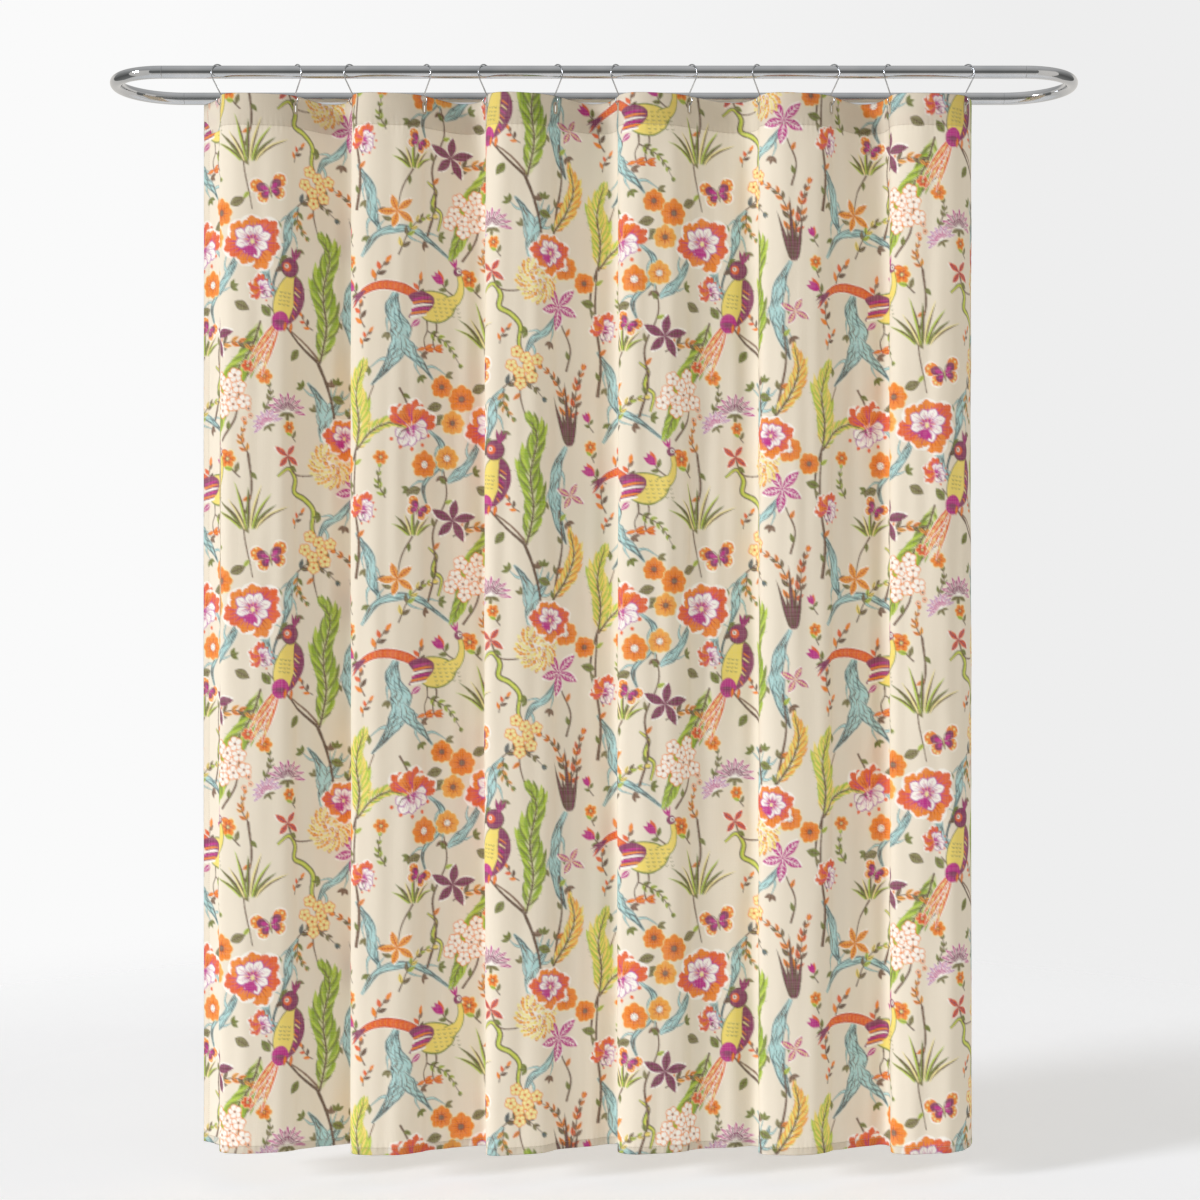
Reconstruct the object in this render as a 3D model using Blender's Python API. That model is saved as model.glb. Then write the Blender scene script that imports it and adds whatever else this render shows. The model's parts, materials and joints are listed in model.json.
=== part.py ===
"""Shower curtain hung from a hoop rail on open wire hooks.

The rail is a closed hoop: two straight tubes, two half-round end bends, and at each of
the four joints a sleeve inside the tubes with a set screw. The curtain hangs from the
front tube on wire hooks, one through each stitched buttonhole.

Metres, +Z up. The origin is the centre of the hoop, level with the tubes' axes. The
curtain hangs on the -Y side. The front tube's axis is what the hooks swing about, and
they slide along it.
"""

import math

import bmesh
import bpy
from mathutils import Matrix, Vector

# Clearance that touching pieces keep.
GAP = 0.0003

# Hoop rail
TUBE_RADIUS = 0.0111
TUBE_WALL = 0.0012
RAIL_HALF_LENGTH = 0.748  # from the middle of a straight tube to its joint
RAIL_BEND_RADIUS = 0.100  # of the tube's axis, half the hoop's depth
SLEEVE_WALL = 0.0015
SLEEVE_REACH = 0.030  # from the joint into the straight tube
SCREW_RADIUS = 0.0022
SCREW_LENGTH = 0.005
SCREW_SOCKET_RADIUS = 0.0011
SCREW_SOCKET_DEPTH = 0.002
SCREW_RECESS = 0.0002  # below the tube's surface
SCREW_FROM_JOINT = 0.016  # along the bend's axis

# Wire hooks
HOOK_WIRE_RADIUS = 0.00115
HOOK_TOP_EASE = 0.00475  # between the top loop and the tube, all round
HOOK_TOP_RADIUS = TUBE_RADIUS + HOOK_WIRE_RADIUS + HOOK_TOP_EASE
HOOK_LOW_RADIUS = 0.0075
HOOK_LEG_LENGTH = 0.0375
HOOK_LEG_ANGLE = math.radians(38.5)  # of the straight leg, from upright
HOOK_REAR_ANGLE = math.radians(15)  # how far the rear tip runs below level
HOOK_TIP_ANGLE = math.radians(20)  # how far the front tip runs above level
HOOK_TURN = math.radians(36)  # about upright, alternately left and right

# Curtain, flat sizes
CURTAIN_HEIGHT = 1.8288
BUTTONHOLE_PITCH = 0.1524
END_FLAP = 0.0762  # from an end buttonhole to the side edge
CLOTH_THICKNESS = 0.0009
TOP_HEM = 0.055
BOTTOM_HEM = 0.013
HEM_STEP = 0.002  # height over which a hem's extra layer ends
NOTCH_ROW = 1  # of the cloth's rows, counted from the top

# Buttonholes: a slot with a band of stitching round it
BUTTONHOLE_DROP = 0.014  # from the curtain's top edge to the slot
SLOT_CLEARANCE = 0.0006  # above the wire, which crosses the slot at a slant
SLOT_WIDTH = 0.006
SLOT_HEIGHT = 0.014
STITCH_BAND = 0.0025
STITCH_THICKNESS = 0.0022

# How the curtain hangs. Seen from above it runs in front of the buttonhole line from
# each odd hook to the next, and behind it from each even hook to the next.
FIRST_HOOK_X = -0.650
GATHER = (0.855, 0.646, 0.821, 0.703, 0.787, 0.715, 0.809, 0.795, 0.821, 0.669, 0.855)
CLOTH_ANGLE = math.radians(57)  # between the cloth at a hook and the rail
LEFT_EDGE_ANGLE = math.radians(62)  # between the cloth at its side edge and the rail
RIGHT_EDGE_ANGLE = math.radians(90)

# Fineness of the faceted shapes
TUBE_SIDES = 20
BEND_STEPS = 18
SLEEVE_BEND_STEPS = 2  # of the bend's steps, so that the sleeve's faces follow its bore
ARC_STEP = math.radians(20)
WIRE_RESOLUTION = 2
SPAN_COLUMNS = 9
FLAP_COLUMNS = 4
SLOT_END_STEPS = 4
WALK_STEPS = 20

# Colour, roughness and metallic value of each finish
FINISHES = {
    "chrome": ((0.80, 0.80, 0.82), 0.10, 1.0),
    "steel": ((0.35, 0.35, 0.36), 0.35, 1.0),
    "cloth": ((0.72, 0.66, 0.56), 0.90, 0.0),
    "thread": ((0.66, 0.60, 0.50), 0.85, 0.0),
}


def clear_scene():
    for old in list(bpy.data.objects):
        bpy.data.objects.remove(old)


def give_finish(obj, finish):
    """Give an object a material of its own."""
    colour, roughness, metallic = FINISHES[finish]
    material = bpy.data.materials.new(obj.name)
    material.use_nodes = True
    shader = material.node_tree.nodes["Principled BSDF"]
    shader.inputs["Base Color"].default_value = (*colour, 1.0)
    shader.inputs["Roughness"].default_value = roughness
    shader.inputs["Metallic"].default_value = metallic
    obj.data.materials.append(material)


def add_object(name, data, finish, parent=None, location=(0, 0, 0), turn=0.0):
    """Link an object that is turned about upright only."""
    obj = bpy.data.objects.new(name, data)
    bpy.context.collection.objects.link(obj)
    obj.parent = parent
    obj.location = location
    obj.rotation_euler.z = turn
    give_finish(obj, finish)
    return obj


def add_empty(name, location):
    empty = bpy.data.objects.new(name, None)
    bpy.context.collection.objects.link(empty)
    empty.location = location
    return empty


def mesh_from(bm, name, smooth_angle=None):
    """Turn a closed bmesh into a mesh whose faces point out."""
    bm.normal_update()
    bmesh.ops.recalc_face_normals(bm, faces=bm.faces)
    mesh = bpy.data.meshes.new(name)
    bm.to_mesh(mesh)
    bm.free()
    if smooth_angle is not None:
        mesh.shade_smooth()
        mesh.set_sharp_from_angle(angle=smooth_angle)
    return mesh


# Hoop rail


def tube_mesh(name, frames, outer, inner):
    """A hollow tube whose circles stand in the given frames, open at both ends."""
    bm = bmesh.new()
    circles = [(frame, outer) for frame in frames]
    circles += [(frame, inner) for frame in reversed(frames)]
    rings = []
    for frame, radius in circles:
        circle = bmesh.ops.create_circle(bm, segments=TUBE_SIDES, radius=radius, matrix=frame)
        rings.append(circle["verts"])
    for ring, following in zip(rings, rings[1:] + rings[:1]):
        for corner in range(TUBE_SIDES):
            beside = (corner + 1) % TUBE_SIDES
            bm.faces.new((ring[corner], ring[beside], following[beside], following[corner]))
    return mesh_from(bm, name, smooth_angle=math.radians(40))


def straight_frame(x):
    """A frame across the front tube, with its circle's first corner on top."""
    return Matrix.Translation((x, -RAIL_BEND_RADIUS, 0)) @ Matrix.Rotation(
        math.radians(90), 4, "Y"
    )


def bend_frame(angle):
    """A frame across the right-hand bend, turned from the front joint."""
    joint = Matrix.Translation((RAIL_HALF_LENGTH, 0, 0))
    return joint @ Matrix.Rotation(angle, 4, "Z") @ straight_frame(0)


def add_straight_tubes():
    end = RAIL_HALF_LENGTH - GAP
    frames = [straight_frame(-end), straight_frame(end)]
    mesh = tube_mesh("straight_tube", frames, TUBE_RADIUS, TUBE_RADIUS - TUBE_WALL)
    add_object("front_tube", mesh, "chrome")
    add_object("back_tube", mesh.copy(), "chrome", turn=math.pi)


def screw_matrix(side):
    """Outer end of a set screw, -Z going in; side is -1 at the front, 1 at the back."""
    angle = SCREW_FROM_JOINT / RAIL_BEND_RADIUS
    if side > 0:
        angle = math.pi - angle
    out = RAIL_BEND_RADIUS + TUBE_RADIUS - SCREW_RECESS
    place = Matrix.Translation((0, -out, 0)) @ Matrix.Rotation(math.radians(90), 4, "X")
    return (
        Matrix.Translation((RAIL_HALF_LENGTH, 0, 0)) @ Matrix.Rotation(angle, 4, "Z") @ place
    )


def screw_mesh(side):
    """A headless set screw with a blind socket in its outer end."""
    bm = bmesh.new()
    bmesh.ops.create_cone(
        bm,
        cap_ends=True,
        segments=12,
        radius1=SCREW_RADIUS,
        radius2=SCREW_RADIUS,
        depth=SCREW_LENGTH,
        matrix=Matrix.Translation((0, 0, -SCREW_LENGTH / 2)),
    )
    outer_end = max(bm.faces, key=lambda face: face.calc_center_median().z)
    bmesh.ops.inset_region(bm, faces=[outer_end], thickness=SCREW_RADIUS - SCREW_SOCKET_RADIUS)
    socket = bmesh.ops.extrude_discrete_faces(bm, faces=[outer_end])["faces"]
    bmesh.ops.translate(bm, verts=socket[0].verts, vec=(0, 0, -SCREW_SOCKET_DEPTH))
    bm.transform(screw_matrix(side))
    return mesh_from(bm, "set_screw", smooth_angle=math.radians(40))


def add_screw_cutter(side, parent):
    """A guide body that opens the bend and the sleeve for one set screw."""
    bm = bmesh.new()
    bmesh.ops.create_cone(
        bm,
        cap_ends=True,
        segments=12,
        radius1=SCREW_RADIUS + GAP,
        radius2=SCREW_RADIUS + GAP,
        depth=2 * SCREW_LENGTH,
        matrix=screw_matrix(side),
    )
    cutter = add_object("screw_cutter", mesh_from(bm, "screw_cutter"), "steel", parent)
    cutter.hide_render = True
    cutter.display_type = "WIRE"
    return cutter


def cut(obj, cutter):
    modifier = obj.modifiers.new("screw_hole", "BOOLEAN")
    modifier.operation = "DIFFERENCE"
    modifier.object = cutter


def bend_angles(steps):
    return [math.pi * step / BEND_STEPS for step in range(steps + 1)]


def sleeve_frames(side):
    """From inside the straight tube, across the joint, to inside the bend."""
    turns = bend_angles(SLEEVE_BEND_STEPS)
    if side < 0:
        return [straight_frame(RAIL_HALF_LENGTH - SLEEVE_REACH)] + [bend_frame(t) for t in turns]
    back = Matrix.Translation((-SLEEVE_REACH, 0, 0)) @ bend_frame(math.pi)
    return [back] + [bend_frame(math.pi - t) for t in turns]


def add_rail_end(hand, turn):
    """One end bend with its two sleeves and set screws; turned half round for the left."""
    end = add_empty(f"rail_end_{hand}", (0, 0, 0))
    end.rotation_euler.z = turn
    frames = [bend_frame(angle) for angle in bend_angles(BEND_STEPS)]
    mesh = tube_mesh("end_bend", frames, TUBE_RADIUS, TUBE_RADIUS - TUBE_WALL)
    bend = add_object(f"end_bend_{hand}", mesh, "chrome", end)
    outer = TUBE_RADIUS - TUBE_WALL - GAP
    for side in (-1, 1):
        run = "front" if side * math.cos(turn) < 0 else "back"
        cutter = add_screw_cutter(side, end)
        mesh = tube_mesh("sleeve", sleeve_frames(side), outer, outer - SLEEVE_WALL)
        sleeve = add_object(f"sleeve_{hand}_{run}", mesh, "steel", end)
        cut(bend, cutter)
        cut(sleeve, cutter)
        add_object(f"set_screw_{hand}_{run}", screw_mesh(side), "steel", end)


# Wire hooks. Their outline lies in a plane: y is forward (-) and back (+), z is up.


def arc(centre, radius, start, end):
    """Points on an arc, from the start angle to the end angle."""
    steps = math.ceil(abs(end - start) / ARC_STEP)
    angles = [start + (end - start) * step / steps for step in range(steps + 1)]
    return [centre + radius * Vector((math.cos(a), math.sin(a))) for a in angles]


def hook_seat_height():
    """Height of the top loop's centre where the turned loop rests on the tube."""
    reach = TUBE_RADIUS + HOOK_WIRE_RADIUS + GAP
    heights = []
    for degree in range(91):
        angle = math.radians(degree)
        across = HOOK_TOP_RADIUS * math.cos(angle) * math.cos(HOOK_TURN)
        if across < reach:
            clear_height = math.sqrt(reach**2 - across**2)
            heights.append(clear_height - HOOK_TOP_RADIUS * math.sin(angle))
    return max(heights)


def hook_outline():
    """The wire's axis from its rear tip over the tube to its front tip, and the low loop."""
    top_centre = Vector((0, hook_seat_height()))
    top = arc(top_centre, HOOK_TOP_RADIUS, -HOOK_REAR_ANGLE, math.pi + HOOK_LEG_ANGLE)
    leg = Vector((math.sin(HOOK_LEG_ANGLE), -math.cos(HOOK_LEG_ANGLE)))
    leg_end = top[-1] + HOOK_LEG_LENGTH * leg
    low_centre = leg_end + HOOK_LOW_RADIUS * Vector((leg.y, -leg.x))
    low = arc(low_centre, HOOK_LOW_RADIUS, HOOK_LEG_ANGLE, -math.pi - HOOK_TIP_ANGLE)
    return top + low, low_centre


def slot_top():
    """Where a buttonhole's upper edge bears on its hook."""
    low_centre = hook_outline()[1]
    return low_centre + Vector((0, HOOK_WIRE_RADIUS + SLOT_CLEARANCE - HOOK_LOW_RADIUS))


def hook_curve():
    points = hook_outline()[0]
    curve = bpy.data.curves.new("hook", "CURVE")
    curve.dimensions = "3D"
    curve.bevel_depth = HOOK_WIRE_RADIUS
    curve.bevel_resolution = WIRE_RESOLUTION
    curve.use_fill_caps = True
    spline = curve.splines.new("POLY")
    spline.points.add(len(points) - 1)
    for knot, point in zip(spline.points, points):
        knot.co = (0, point.x, point.y, 1)
    return curve


# Stitched buttonholes


def slot_outline(width, height):
    """An upright slot with round ends, centred on the origin, in the XZ plane."""
    radius = width / 2
    straight = height / 2 - radius
    ends = []
    for centre, start in ((straight, 0.0), (-straight, math.pi)):
        for step in range(SLOT_END_STEPS + 1):
            angle = start + math.pi * step / SLOT_END_STEPS
            ends.append((radius * math.cos(angle), 0, centre + radius * math.sin(angle)))
    return ends


def loop_edges(bm, points):
    verts = [bm.verts.new(point) for point in points]
    return [bm.edges.new(pair) for pair in zip(verts, verts[1:] + verts[:1])]


def buttonhole_mesh():
    """The band of stitching round a slot, as a flat ring."""
    bm = bmesh.new()
    band = 2 * STITCH_BAND
    outer = loop_edges(bm, slot_outline(SLOT_WIDTH + band, SLOT_HEIGHT + band))
    inner = loop_edges(bm, slot_outline(SLOT_WIDTH, SLOT_HEIGHT))
    bmesh.ops.bridge_loops(bm, edges=outer + inner)
    bmesh.ops.translate(bm, verts=bm.verts, vec=(0, -STITCH_THICKNESS / 2, 0))
    raised = bmesh.ops.extrude_face_region(bm, geom=bm.faces[:], use_keep_orig=True)["geom"]
    verts = [item for item in raised if isinstance(item, bmesh.types.BMVert)]
    bmesh.ops.translate(bm, verts=verts, vec=(0, STITCH_THICKNESS, 0))
    return mesh_from(bm, "buttonhole")


# Curtain


def walk(heading, length, stops):
    """Points seen from above, along a line whose heading changes along its length."""
    points = []
    place = Vector((0, 0))
    gone = 0
    for stop in stops:
        stride = (stop - gone) / WALK_STEPS
        for step in range(WALK_STEPS):
            angle = heading((gone + stride * (step + 0.5)) / length)
            place = place + stride * Vector((math.cos(angle), math.sin(angle)))
        points.append(place)
        gone = stop
    return points


def fold_heading(sharing, side):
    """Heading across a fold: the cloth's angle at both hooks, and its shape between."""

    def heading(share):
        swing = (CLOTH_ANGLE - sharing) * math.cos(math.pi * share)
        return side * (swing + sharing * math.cos(3 * math.pi * share))

    return heading


def fitted_heading(chord, side):
    """The fold that uses the cloth between two buttonholes over the given distance."""
    low, high = -0.9, CLOTH_ANGLE / 2
    for _ in range(40):
        middle = (low + high) / 2
        end = walk(fold_heading(middle, side), BUTTONHOLE_PITCH, [BUTTONHOLE_PITCH])[-1]
        if end.x < chord:
            low = middle
        else:
            high = middle
    return fold_heading(middle, side)


def cloth_rows():
    """Heights below the top edge, with whether the cloth is a hem there."""
    slot_clear = STITCH_BAND + GAP
    bottom_fold = CURTAIN_HEIGHT - BOTTOM_HEM
    return [
        (0, True),
        (BUTTONHOLE_DROP - slot_clear, True),
        (BUTTONHOLE_DROP + SLOT_HEIGHT + slot_clear, True),
        (TOP_HEM, True),
        (TOP_HEM + HEM_STEP, False),
        (bottom_fold - HEM_STEP, False),
        (bottom_fold, True),
        (CURTAIN_HEIGHT, True),
    ]


def cloth_mesh(points, notch_columns):
    """A sheet hanging from a line seen from above, notched beside its buttonholes."""
    bm = bmesh.new()
    line = [bm.verts.new((point.x, point.y, 0)) for point in points]
    edges = [bm.edges.new(pair) for pair in zip(line, line[1:])]
    heights = [height for height, _ in cloth_rows()]
    for upper, lower in zip(heights, heights[1:]):
        drawn = bmesh.ops.extrude_edge_only(bm, edges=edges)["geom"]
        verts = [item for item in drawn if isinstance(item, bmesh.types.BMVert)]
        bmesh.ops.translate(bm, verts=verts, vec=(0, 0, upper - lower))
        new_edges = [item for item in drawn if isinstance(item, bmesh.types.BMEdge)]
        edges = [edge for edge in new_edges if abs(edge.verts[0].co.z - edge.verts[1].co.z) < GAP]
    notch_height = -(heights[NOTCH_ROW] + heights[NOTCH_ROW + 1]) / 2
    beside = [points[column : column + 2] for column in notch_columns]
    notches = [(*(pair[0] + pair[1]) / 2, notch_height) for pair in beside]
    notched = [
        face
        for face in bm.faces
        if min((face.calc_center_median() - Vector(notch)).length for notch in notches) < GAP
    ]
    bmesh.ops.delete(bm, geom=notched, context="FACES")
    return mesh_from(bm, "cloth")


def add_cloth(name, points, notch_columns, parent, location):
    """A cloth piece, twice as thick where it is hemmed."""
    obj = add_object(name, cloth_mesh(points, notch_columns), "cloth", parent, location)
    hems = obj.vertex_groups.new(name="hems")
    hem_heights = [height for height, is_hem in cloth_rows() if is_hem]
    for vert in obj.data.vertices:
        if min(abs(vert.co.z + height) for height in hem_heights) < GAP:
            hems.add([vert.index], 1.0, "REPLACE")
    solid = obj.modifiers.new("thickness", "SOLIDIFY")
    solid.thickness = 2 * CLOTH_THICKNESS
    solid.offset = 0
    solid.vertex_group = hems.name
    solid.thickness_vertex_group = 0.5


def spread(start, end, count):
    return [start + (end - start) * step / count for step in range(count + 1)]


def notch_width():
    return SLOT_WIDTH / 2 + STITCH_BAND + GAP


def add_span(number, side, chord, parent, location):
    """The cloth between two buttonholes."""
    notch = notch_width()
    middle = spread(notch, BUTTONHOLE_PITCH - notch, SPAN_COLUMNS)
    stops = [GAP / 2] + middle + [BUTTONHOLE_PITCH - GAP / 2]
    points = walk(fitted_heading(chord, side), BUTTONHOLE_PITCH, stops)
    add_cloth(f"curtain_span_{number:02d}", points, (0, len(points) - 2), parent, location)


def add_flap(hand, hand_sign, edge_angle, parent, location):
    """The cloth from an end buttonhole to the side edge, folded back from the hook."""

    def heading(share):
        return CLOTH_ANGLE + (edge_angle - CLOTH_ANGLE) * share

    stops = [GAP / 2] + spread(notch_width(), END_FLAP, FLAP_COLUMNS)
    points = walk(heading, END_FLAP, stops)
    points = [Vector((hand_sign * point.x, point.y)) for point in points]
    add_cloth(f"curtain_flap_{hand}", points, (0,), parent, location)


def add_curtain():
    """Hooks along the front tube, each with its buttonhole, and the cloth between."""
    axis = add_empty("swing_axis", (0, -RAIL_BEND_RADIUS, 0))
    curve = hook_curve()
    ring = buttonhole_mesh()
    bearing = slot_top()
    top_edge = bearing.y + BUTTONHOLE_DROP
    ring_height = bearing.y - SLOT_HEIGHT / 2
    side_step = bearing.x * math.sin(HOOK_TURN)
    back_step = bearing.x * math.cos(HOOK_TURN)
    hook_x = FIRST_HOOK_X
    slots = []
    for index in range(len(GATHER) + 1):
        number = index + 1
        side = 1 if index % 2 == 0 else -1
        hook = add_object(
            f"hook_{number:02d}", curve.copy(), "chrome", axis, (hook_x, 0, 0), -side * HOOK_TURN
        )
        add_object(
            f"buttonhole_{number:02d}",
            ring.copy(),
            "thread",
            hook,
            (0, bearing.x, ring_height),
            side * (HOOK_TURN - CLOTH_ANGLE),
        )
        slot = Vector((hook_x + side * side_step, back_step, top_edge))
        slots.append(slot)
        if index < len(GATHER):
            chord = GATHER[index] * BUTTONHOLE_PITCH
            add_span(number, -side, chord, axis, slot)
            hook_x += chord + 2 * side * side_step
    add_flap("left", -1, LEFT_EDGE_ANGLE, axis, slots[0])
    add_flap("right", 1, RIGHT_EDGE_ANGLE, axis, slots[-1])


clear_scene()
add_straight_tubes()
add_rail_end("right", 0.0)
add_rail_end("left", math.pi)
add_curtain()
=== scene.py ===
"""Builds a shower curtain of printed cotton cloth on wire hooks round a chrome hoop rail.

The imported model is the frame: each piece is made where its node is, and rides on its body.
Metres, +Z up, the curtain hangs on the -Y side. The print alone is drawn in millimetres.
"""

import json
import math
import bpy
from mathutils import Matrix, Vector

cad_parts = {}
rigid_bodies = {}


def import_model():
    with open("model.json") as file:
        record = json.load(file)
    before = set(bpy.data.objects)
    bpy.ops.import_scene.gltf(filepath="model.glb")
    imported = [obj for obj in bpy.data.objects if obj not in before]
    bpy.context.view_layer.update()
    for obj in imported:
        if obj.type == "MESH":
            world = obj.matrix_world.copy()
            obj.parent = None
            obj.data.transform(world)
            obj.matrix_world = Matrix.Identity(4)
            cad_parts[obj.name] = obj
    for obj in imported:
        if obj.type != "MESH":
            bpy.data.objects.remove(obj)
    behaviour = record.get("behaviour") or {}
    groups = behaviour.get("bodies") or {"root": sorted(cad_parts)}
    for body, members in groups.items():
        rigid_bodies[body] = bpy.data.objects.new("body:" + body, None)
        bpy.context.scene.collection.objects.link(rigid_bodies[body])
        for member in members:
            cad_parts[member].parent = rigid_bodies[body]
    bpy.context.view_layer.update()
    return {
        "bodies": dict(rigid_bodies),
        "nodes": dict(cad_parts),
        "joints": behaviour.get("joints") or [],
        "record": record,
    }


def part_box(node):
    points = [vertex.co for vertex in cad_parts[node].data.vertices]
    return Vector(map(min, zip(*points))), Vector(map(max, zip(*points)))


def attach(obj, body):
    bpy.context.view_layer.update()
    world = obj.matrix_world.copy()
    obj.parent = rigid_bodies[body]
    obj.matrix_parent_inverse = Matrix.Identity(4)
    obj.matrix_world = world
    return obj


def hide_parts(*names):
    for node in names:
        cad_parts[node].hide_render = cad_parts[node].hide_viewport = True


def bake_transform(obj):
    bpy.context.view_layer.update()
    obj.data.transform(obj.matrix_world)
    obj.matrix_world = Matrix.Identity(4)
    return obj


bl_info = {
    "name": "Shower Curtain on a Hoop Rail",
    "version": (1, 0, 0),
    "blender": (4, 5, 0),
    "location": "View3D > Sidebar > Shower Curtain",
    "description": "Builds a printed cloth shower curtain hung by wire hooks from an oval rail",
    "category": "Object",
}

import bmesh
import bpy
import numpy as np
from mathutils import Matrix, Vector

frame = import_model()

HOOKS = 12


def box_centre(node):
    low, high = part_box(node)
    return (low + high) / 2


TUBE_LOW, TUBE_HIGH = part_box("front_tube")
TUBE_RADIUS = (TUBE_HIGH.z - TUBE_LOW.z) / 2
RUN_HALF = (TUBE_HIGH.x - TUBE_LOW.x) / 2
HOOP_RADIUS = -(TUBE_HIGH.y + TUBE_LOW.y) / 2
SLOTS = [box_centre(f"buttonhole_{n:02d}") for n in range(1, HOOKS + 1)]
CLOTH_LOW, CLOTH_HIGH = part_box("curtain_span_01")
CLOTH_TOP = CLOTH_HIGH.z
CLOTH_HEIGHT = CLOTH_HIGH.z - CLOTH_LOW.z


def linear(colour):
    """The linear RGB of an sRGB hex value."""
    parts = [int(colour[i : i + 2], 16) / 255 for i in (1, 3, 5)]
    return tuple(c / 12.92 if c <= 0.04045 else ((c + 0.055) / 1.055) ** 2.4 for c in parts)


def rgba(colour):
    return (*linear(colour), 1.0)


def size_setting(name, description, metres):
    return bpy.props.FloatProperty(
        name=name, description=description, default=metres, unit="LENGTH", precision=4
    )


def angle_setting(name, description, degrees):
    return bpy.props.FloatProperty(
        name=name, description=description, default=math.radians(degrees), subtype="ANGLE"
    )


def share_setting(name, description, share):
    return bpy.props.FloatProperty(name=name, description=description, default=share)


def ink_setting(name, description, colour):
    return bpy.props.FloatVectorProperty(
        name=name, description=description, default=linear(colour), size=3, subtype="COLOR"
    )


class RailSettings(bpy.types.PropertyGroup):
    """Sizes of the hoop rail."""

    tube_radius: size_setting("Tube radius", "Outside radius of the rail's tube", TUBE_RADIUS)
    tube_wall: size_setting("Tube wall", "Thickness of the tube", 0.0012)
    run_half: size_setting("Half run", "From a straight tube's middle to its joint", RUN_HALF)
    hoop_radius: size_setting("End radius", "Radius of an end bend's axis", HOOP_RADIUS)
    rim: size_setting("Rim", "Chamfer at each tube end, which draws the joint's seam", 0.0005)


class HookSettings(bpy.types.PropertyGroup):
    """Sizes of one wire hook."""

    wire_radius: size_setting("Wire radius", "Radius of the hook's wire", 0.00115)
    top_radius: size_setting("Top loop", "Radius of the loop over the tube", 0.017)
    low_radius: size_setting("Low loop", "Radius of the loop through the cloth", 0.0075)
    leg: size_setting("Leg", "Length of the straight leg between the loops", 0.0375)
    leg_angle: angle_setting("Leg angle", "Slope of the leg from upright", 38.5)
    rear_angle: angle_setting("Rear tip", "How far the rear tip runs below level", 15)
    tip_angle: angle_setting("Front tip", "How far the front tip runs above level", 20)
    turn: angle_setting("Turn", "How far each hook turns on the tube, left and right in turn", 36)


class CurtainSettings(bpy.types.PropertyGroup):
    """Flat sizes of the curtain and the lean of its folds."""

    pitch: size_setting("Pitch", "Cloth from one buttonhole to the next", 0.1524)
    flap: size_setting("Flap", "Cloth from an end buttonhole to the side edge", 0.0762)
    top_hem: size_setting("Top hem", "Depth of the double layer at the top", 0.055)
    bottom_hem: size_setting("Bottom hem", "Depth of the double layer at the bottom", 0.013)
    side_hem: size_setting("Side hem", "Width of the double layer down each side", 0.012)
    layer: size_setting("Layer gap", "Distance of a hem's inner layer behind the cloth", 0.0009)
    slot_drop: size_setting("Slot drop", "From the top edge to a buttonhole", 0.014)
    slot_height: size_setting("Slot height", "Height of a buttonhole's opening", 0.014)
    slot_width: size_setting("Slot width", "Width of a buttonhole's opening", 0.0026)
    grid: size_setting("Grid", "Spacing of the cloth mesh, which carries the print", 0.0021)
    steep: angle_setting("Steep side", "Slope of each pleat's left side", 101)
    gentle: angle_setting("Gentle side", "Slope of each pleat's right side", 58)
    pleat_tilt: share_setting("Pleat tilt", "How far a pleat's front turns, in radians", 0.75)
    dip_tilt: share_setting("Dip tilt", "How far a dip's front turns, in radians", -0.45)


class PrintSettings(bpy.types.PropertyGroup):
    """Inks of the printed cloth."""

    ground: ink_setting("Ground", "Undyed ecru of the cloth", "#ebe1ce")
    ivory: ink_setting("Ivory", "Pale halos and white petals", "#fbf7ee")
    orange: ink_setting("Orange", "Daisies and small leaves", "#ee8a34")
    amber: ink_setting("Amber", "Light orange flowers", "#f2a94c")
    coral: ink_setting("Coral", "Outer petals and long tails", "#e5683a")
    rust: ink_setting("Rust", "Outlines of orange shapes", "#c8502c")
    magenta: ink_setting("Magenta", "Streaks and star leaves", "#c0398c")
    violet: ink_setting("Violet", "Outlines of white petals", "#b565b0")
    plum: ink_setting("Plum", "Dark petals, wings and heads", "#8c4468")
    yellow: ink_setting("Yellow", "Birds' breasts and plumes", "#f2dc74")
    straw: ink_setting("Straw", "Pale yellow washes", "#f3e6a0")
    lime: ink_setting("Lime", "Long feathery leaves", "#b9cf52")
    leaf: ink_setting("Leaf green", "Shaded leaflets", "#93b03a")
    moss: ink_setting("Moss", "Dark leaflets and outlines", "#7f8c44")
    olive: ink_setting("Olive", "Grey-green leaves", "#8d8a5c")
    aqua: ink_setting("Aqua", "Trunks and branches", "#b4dad8")
    mist: ink_setting("Mist", "Pale wash round the trunks", "#cfe3df")
    slate: ink_setting("Slate", "Dark edges of the trunks", "#5d6e70")
    umber: ink_setting("Umber", "Light brown stems", "#8a6f5c")
    bark: ink_setting("Bark", "Dark brown stems and veins", "#6b5648")


class StageSettings(bpy.types.PropertyGroup):
    """The floor, the lights and the camera."""

    floor_drop: size_setting("Floor gap", "Height of the curtain's foot above the floor", 0.058)
    floor_radius: size_setting("Floor radius", "Radius of the floor", 3.2)
    eye_distance: size_setting("Camera distance", "From the rail's middle to the camera", 3.75)
    eye_side: size_setting("Camera side", "How far right of the rail's middle it stands", 0.0107)
    eye_height: size_setting("Camera height", "Height of the camera from the rail's axis", -0.8885)
    shift: share_setting("Shift", "Upward shift of the picture, as a share of its side", -0.0125)
    lens: bpy.props.FloatProperty(
        name="Lens", description="Focal length on a 36 mm sensor", default=63.2, unit="CAMERA"
    )
    key_strength: share_setting("Key light", "Strength of the light from the left", 2.3)
    key_softness: angle_setting("Key softness", "Angle across the key light's disc", 11)
    key_tint: ink_setting("Key tint", "Cool daylight of the key light", "#f4f7ff")
    sky_strength: share_setting("Sky", "Strength of the soft light from all round", 0.86)


# Materials

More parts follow.
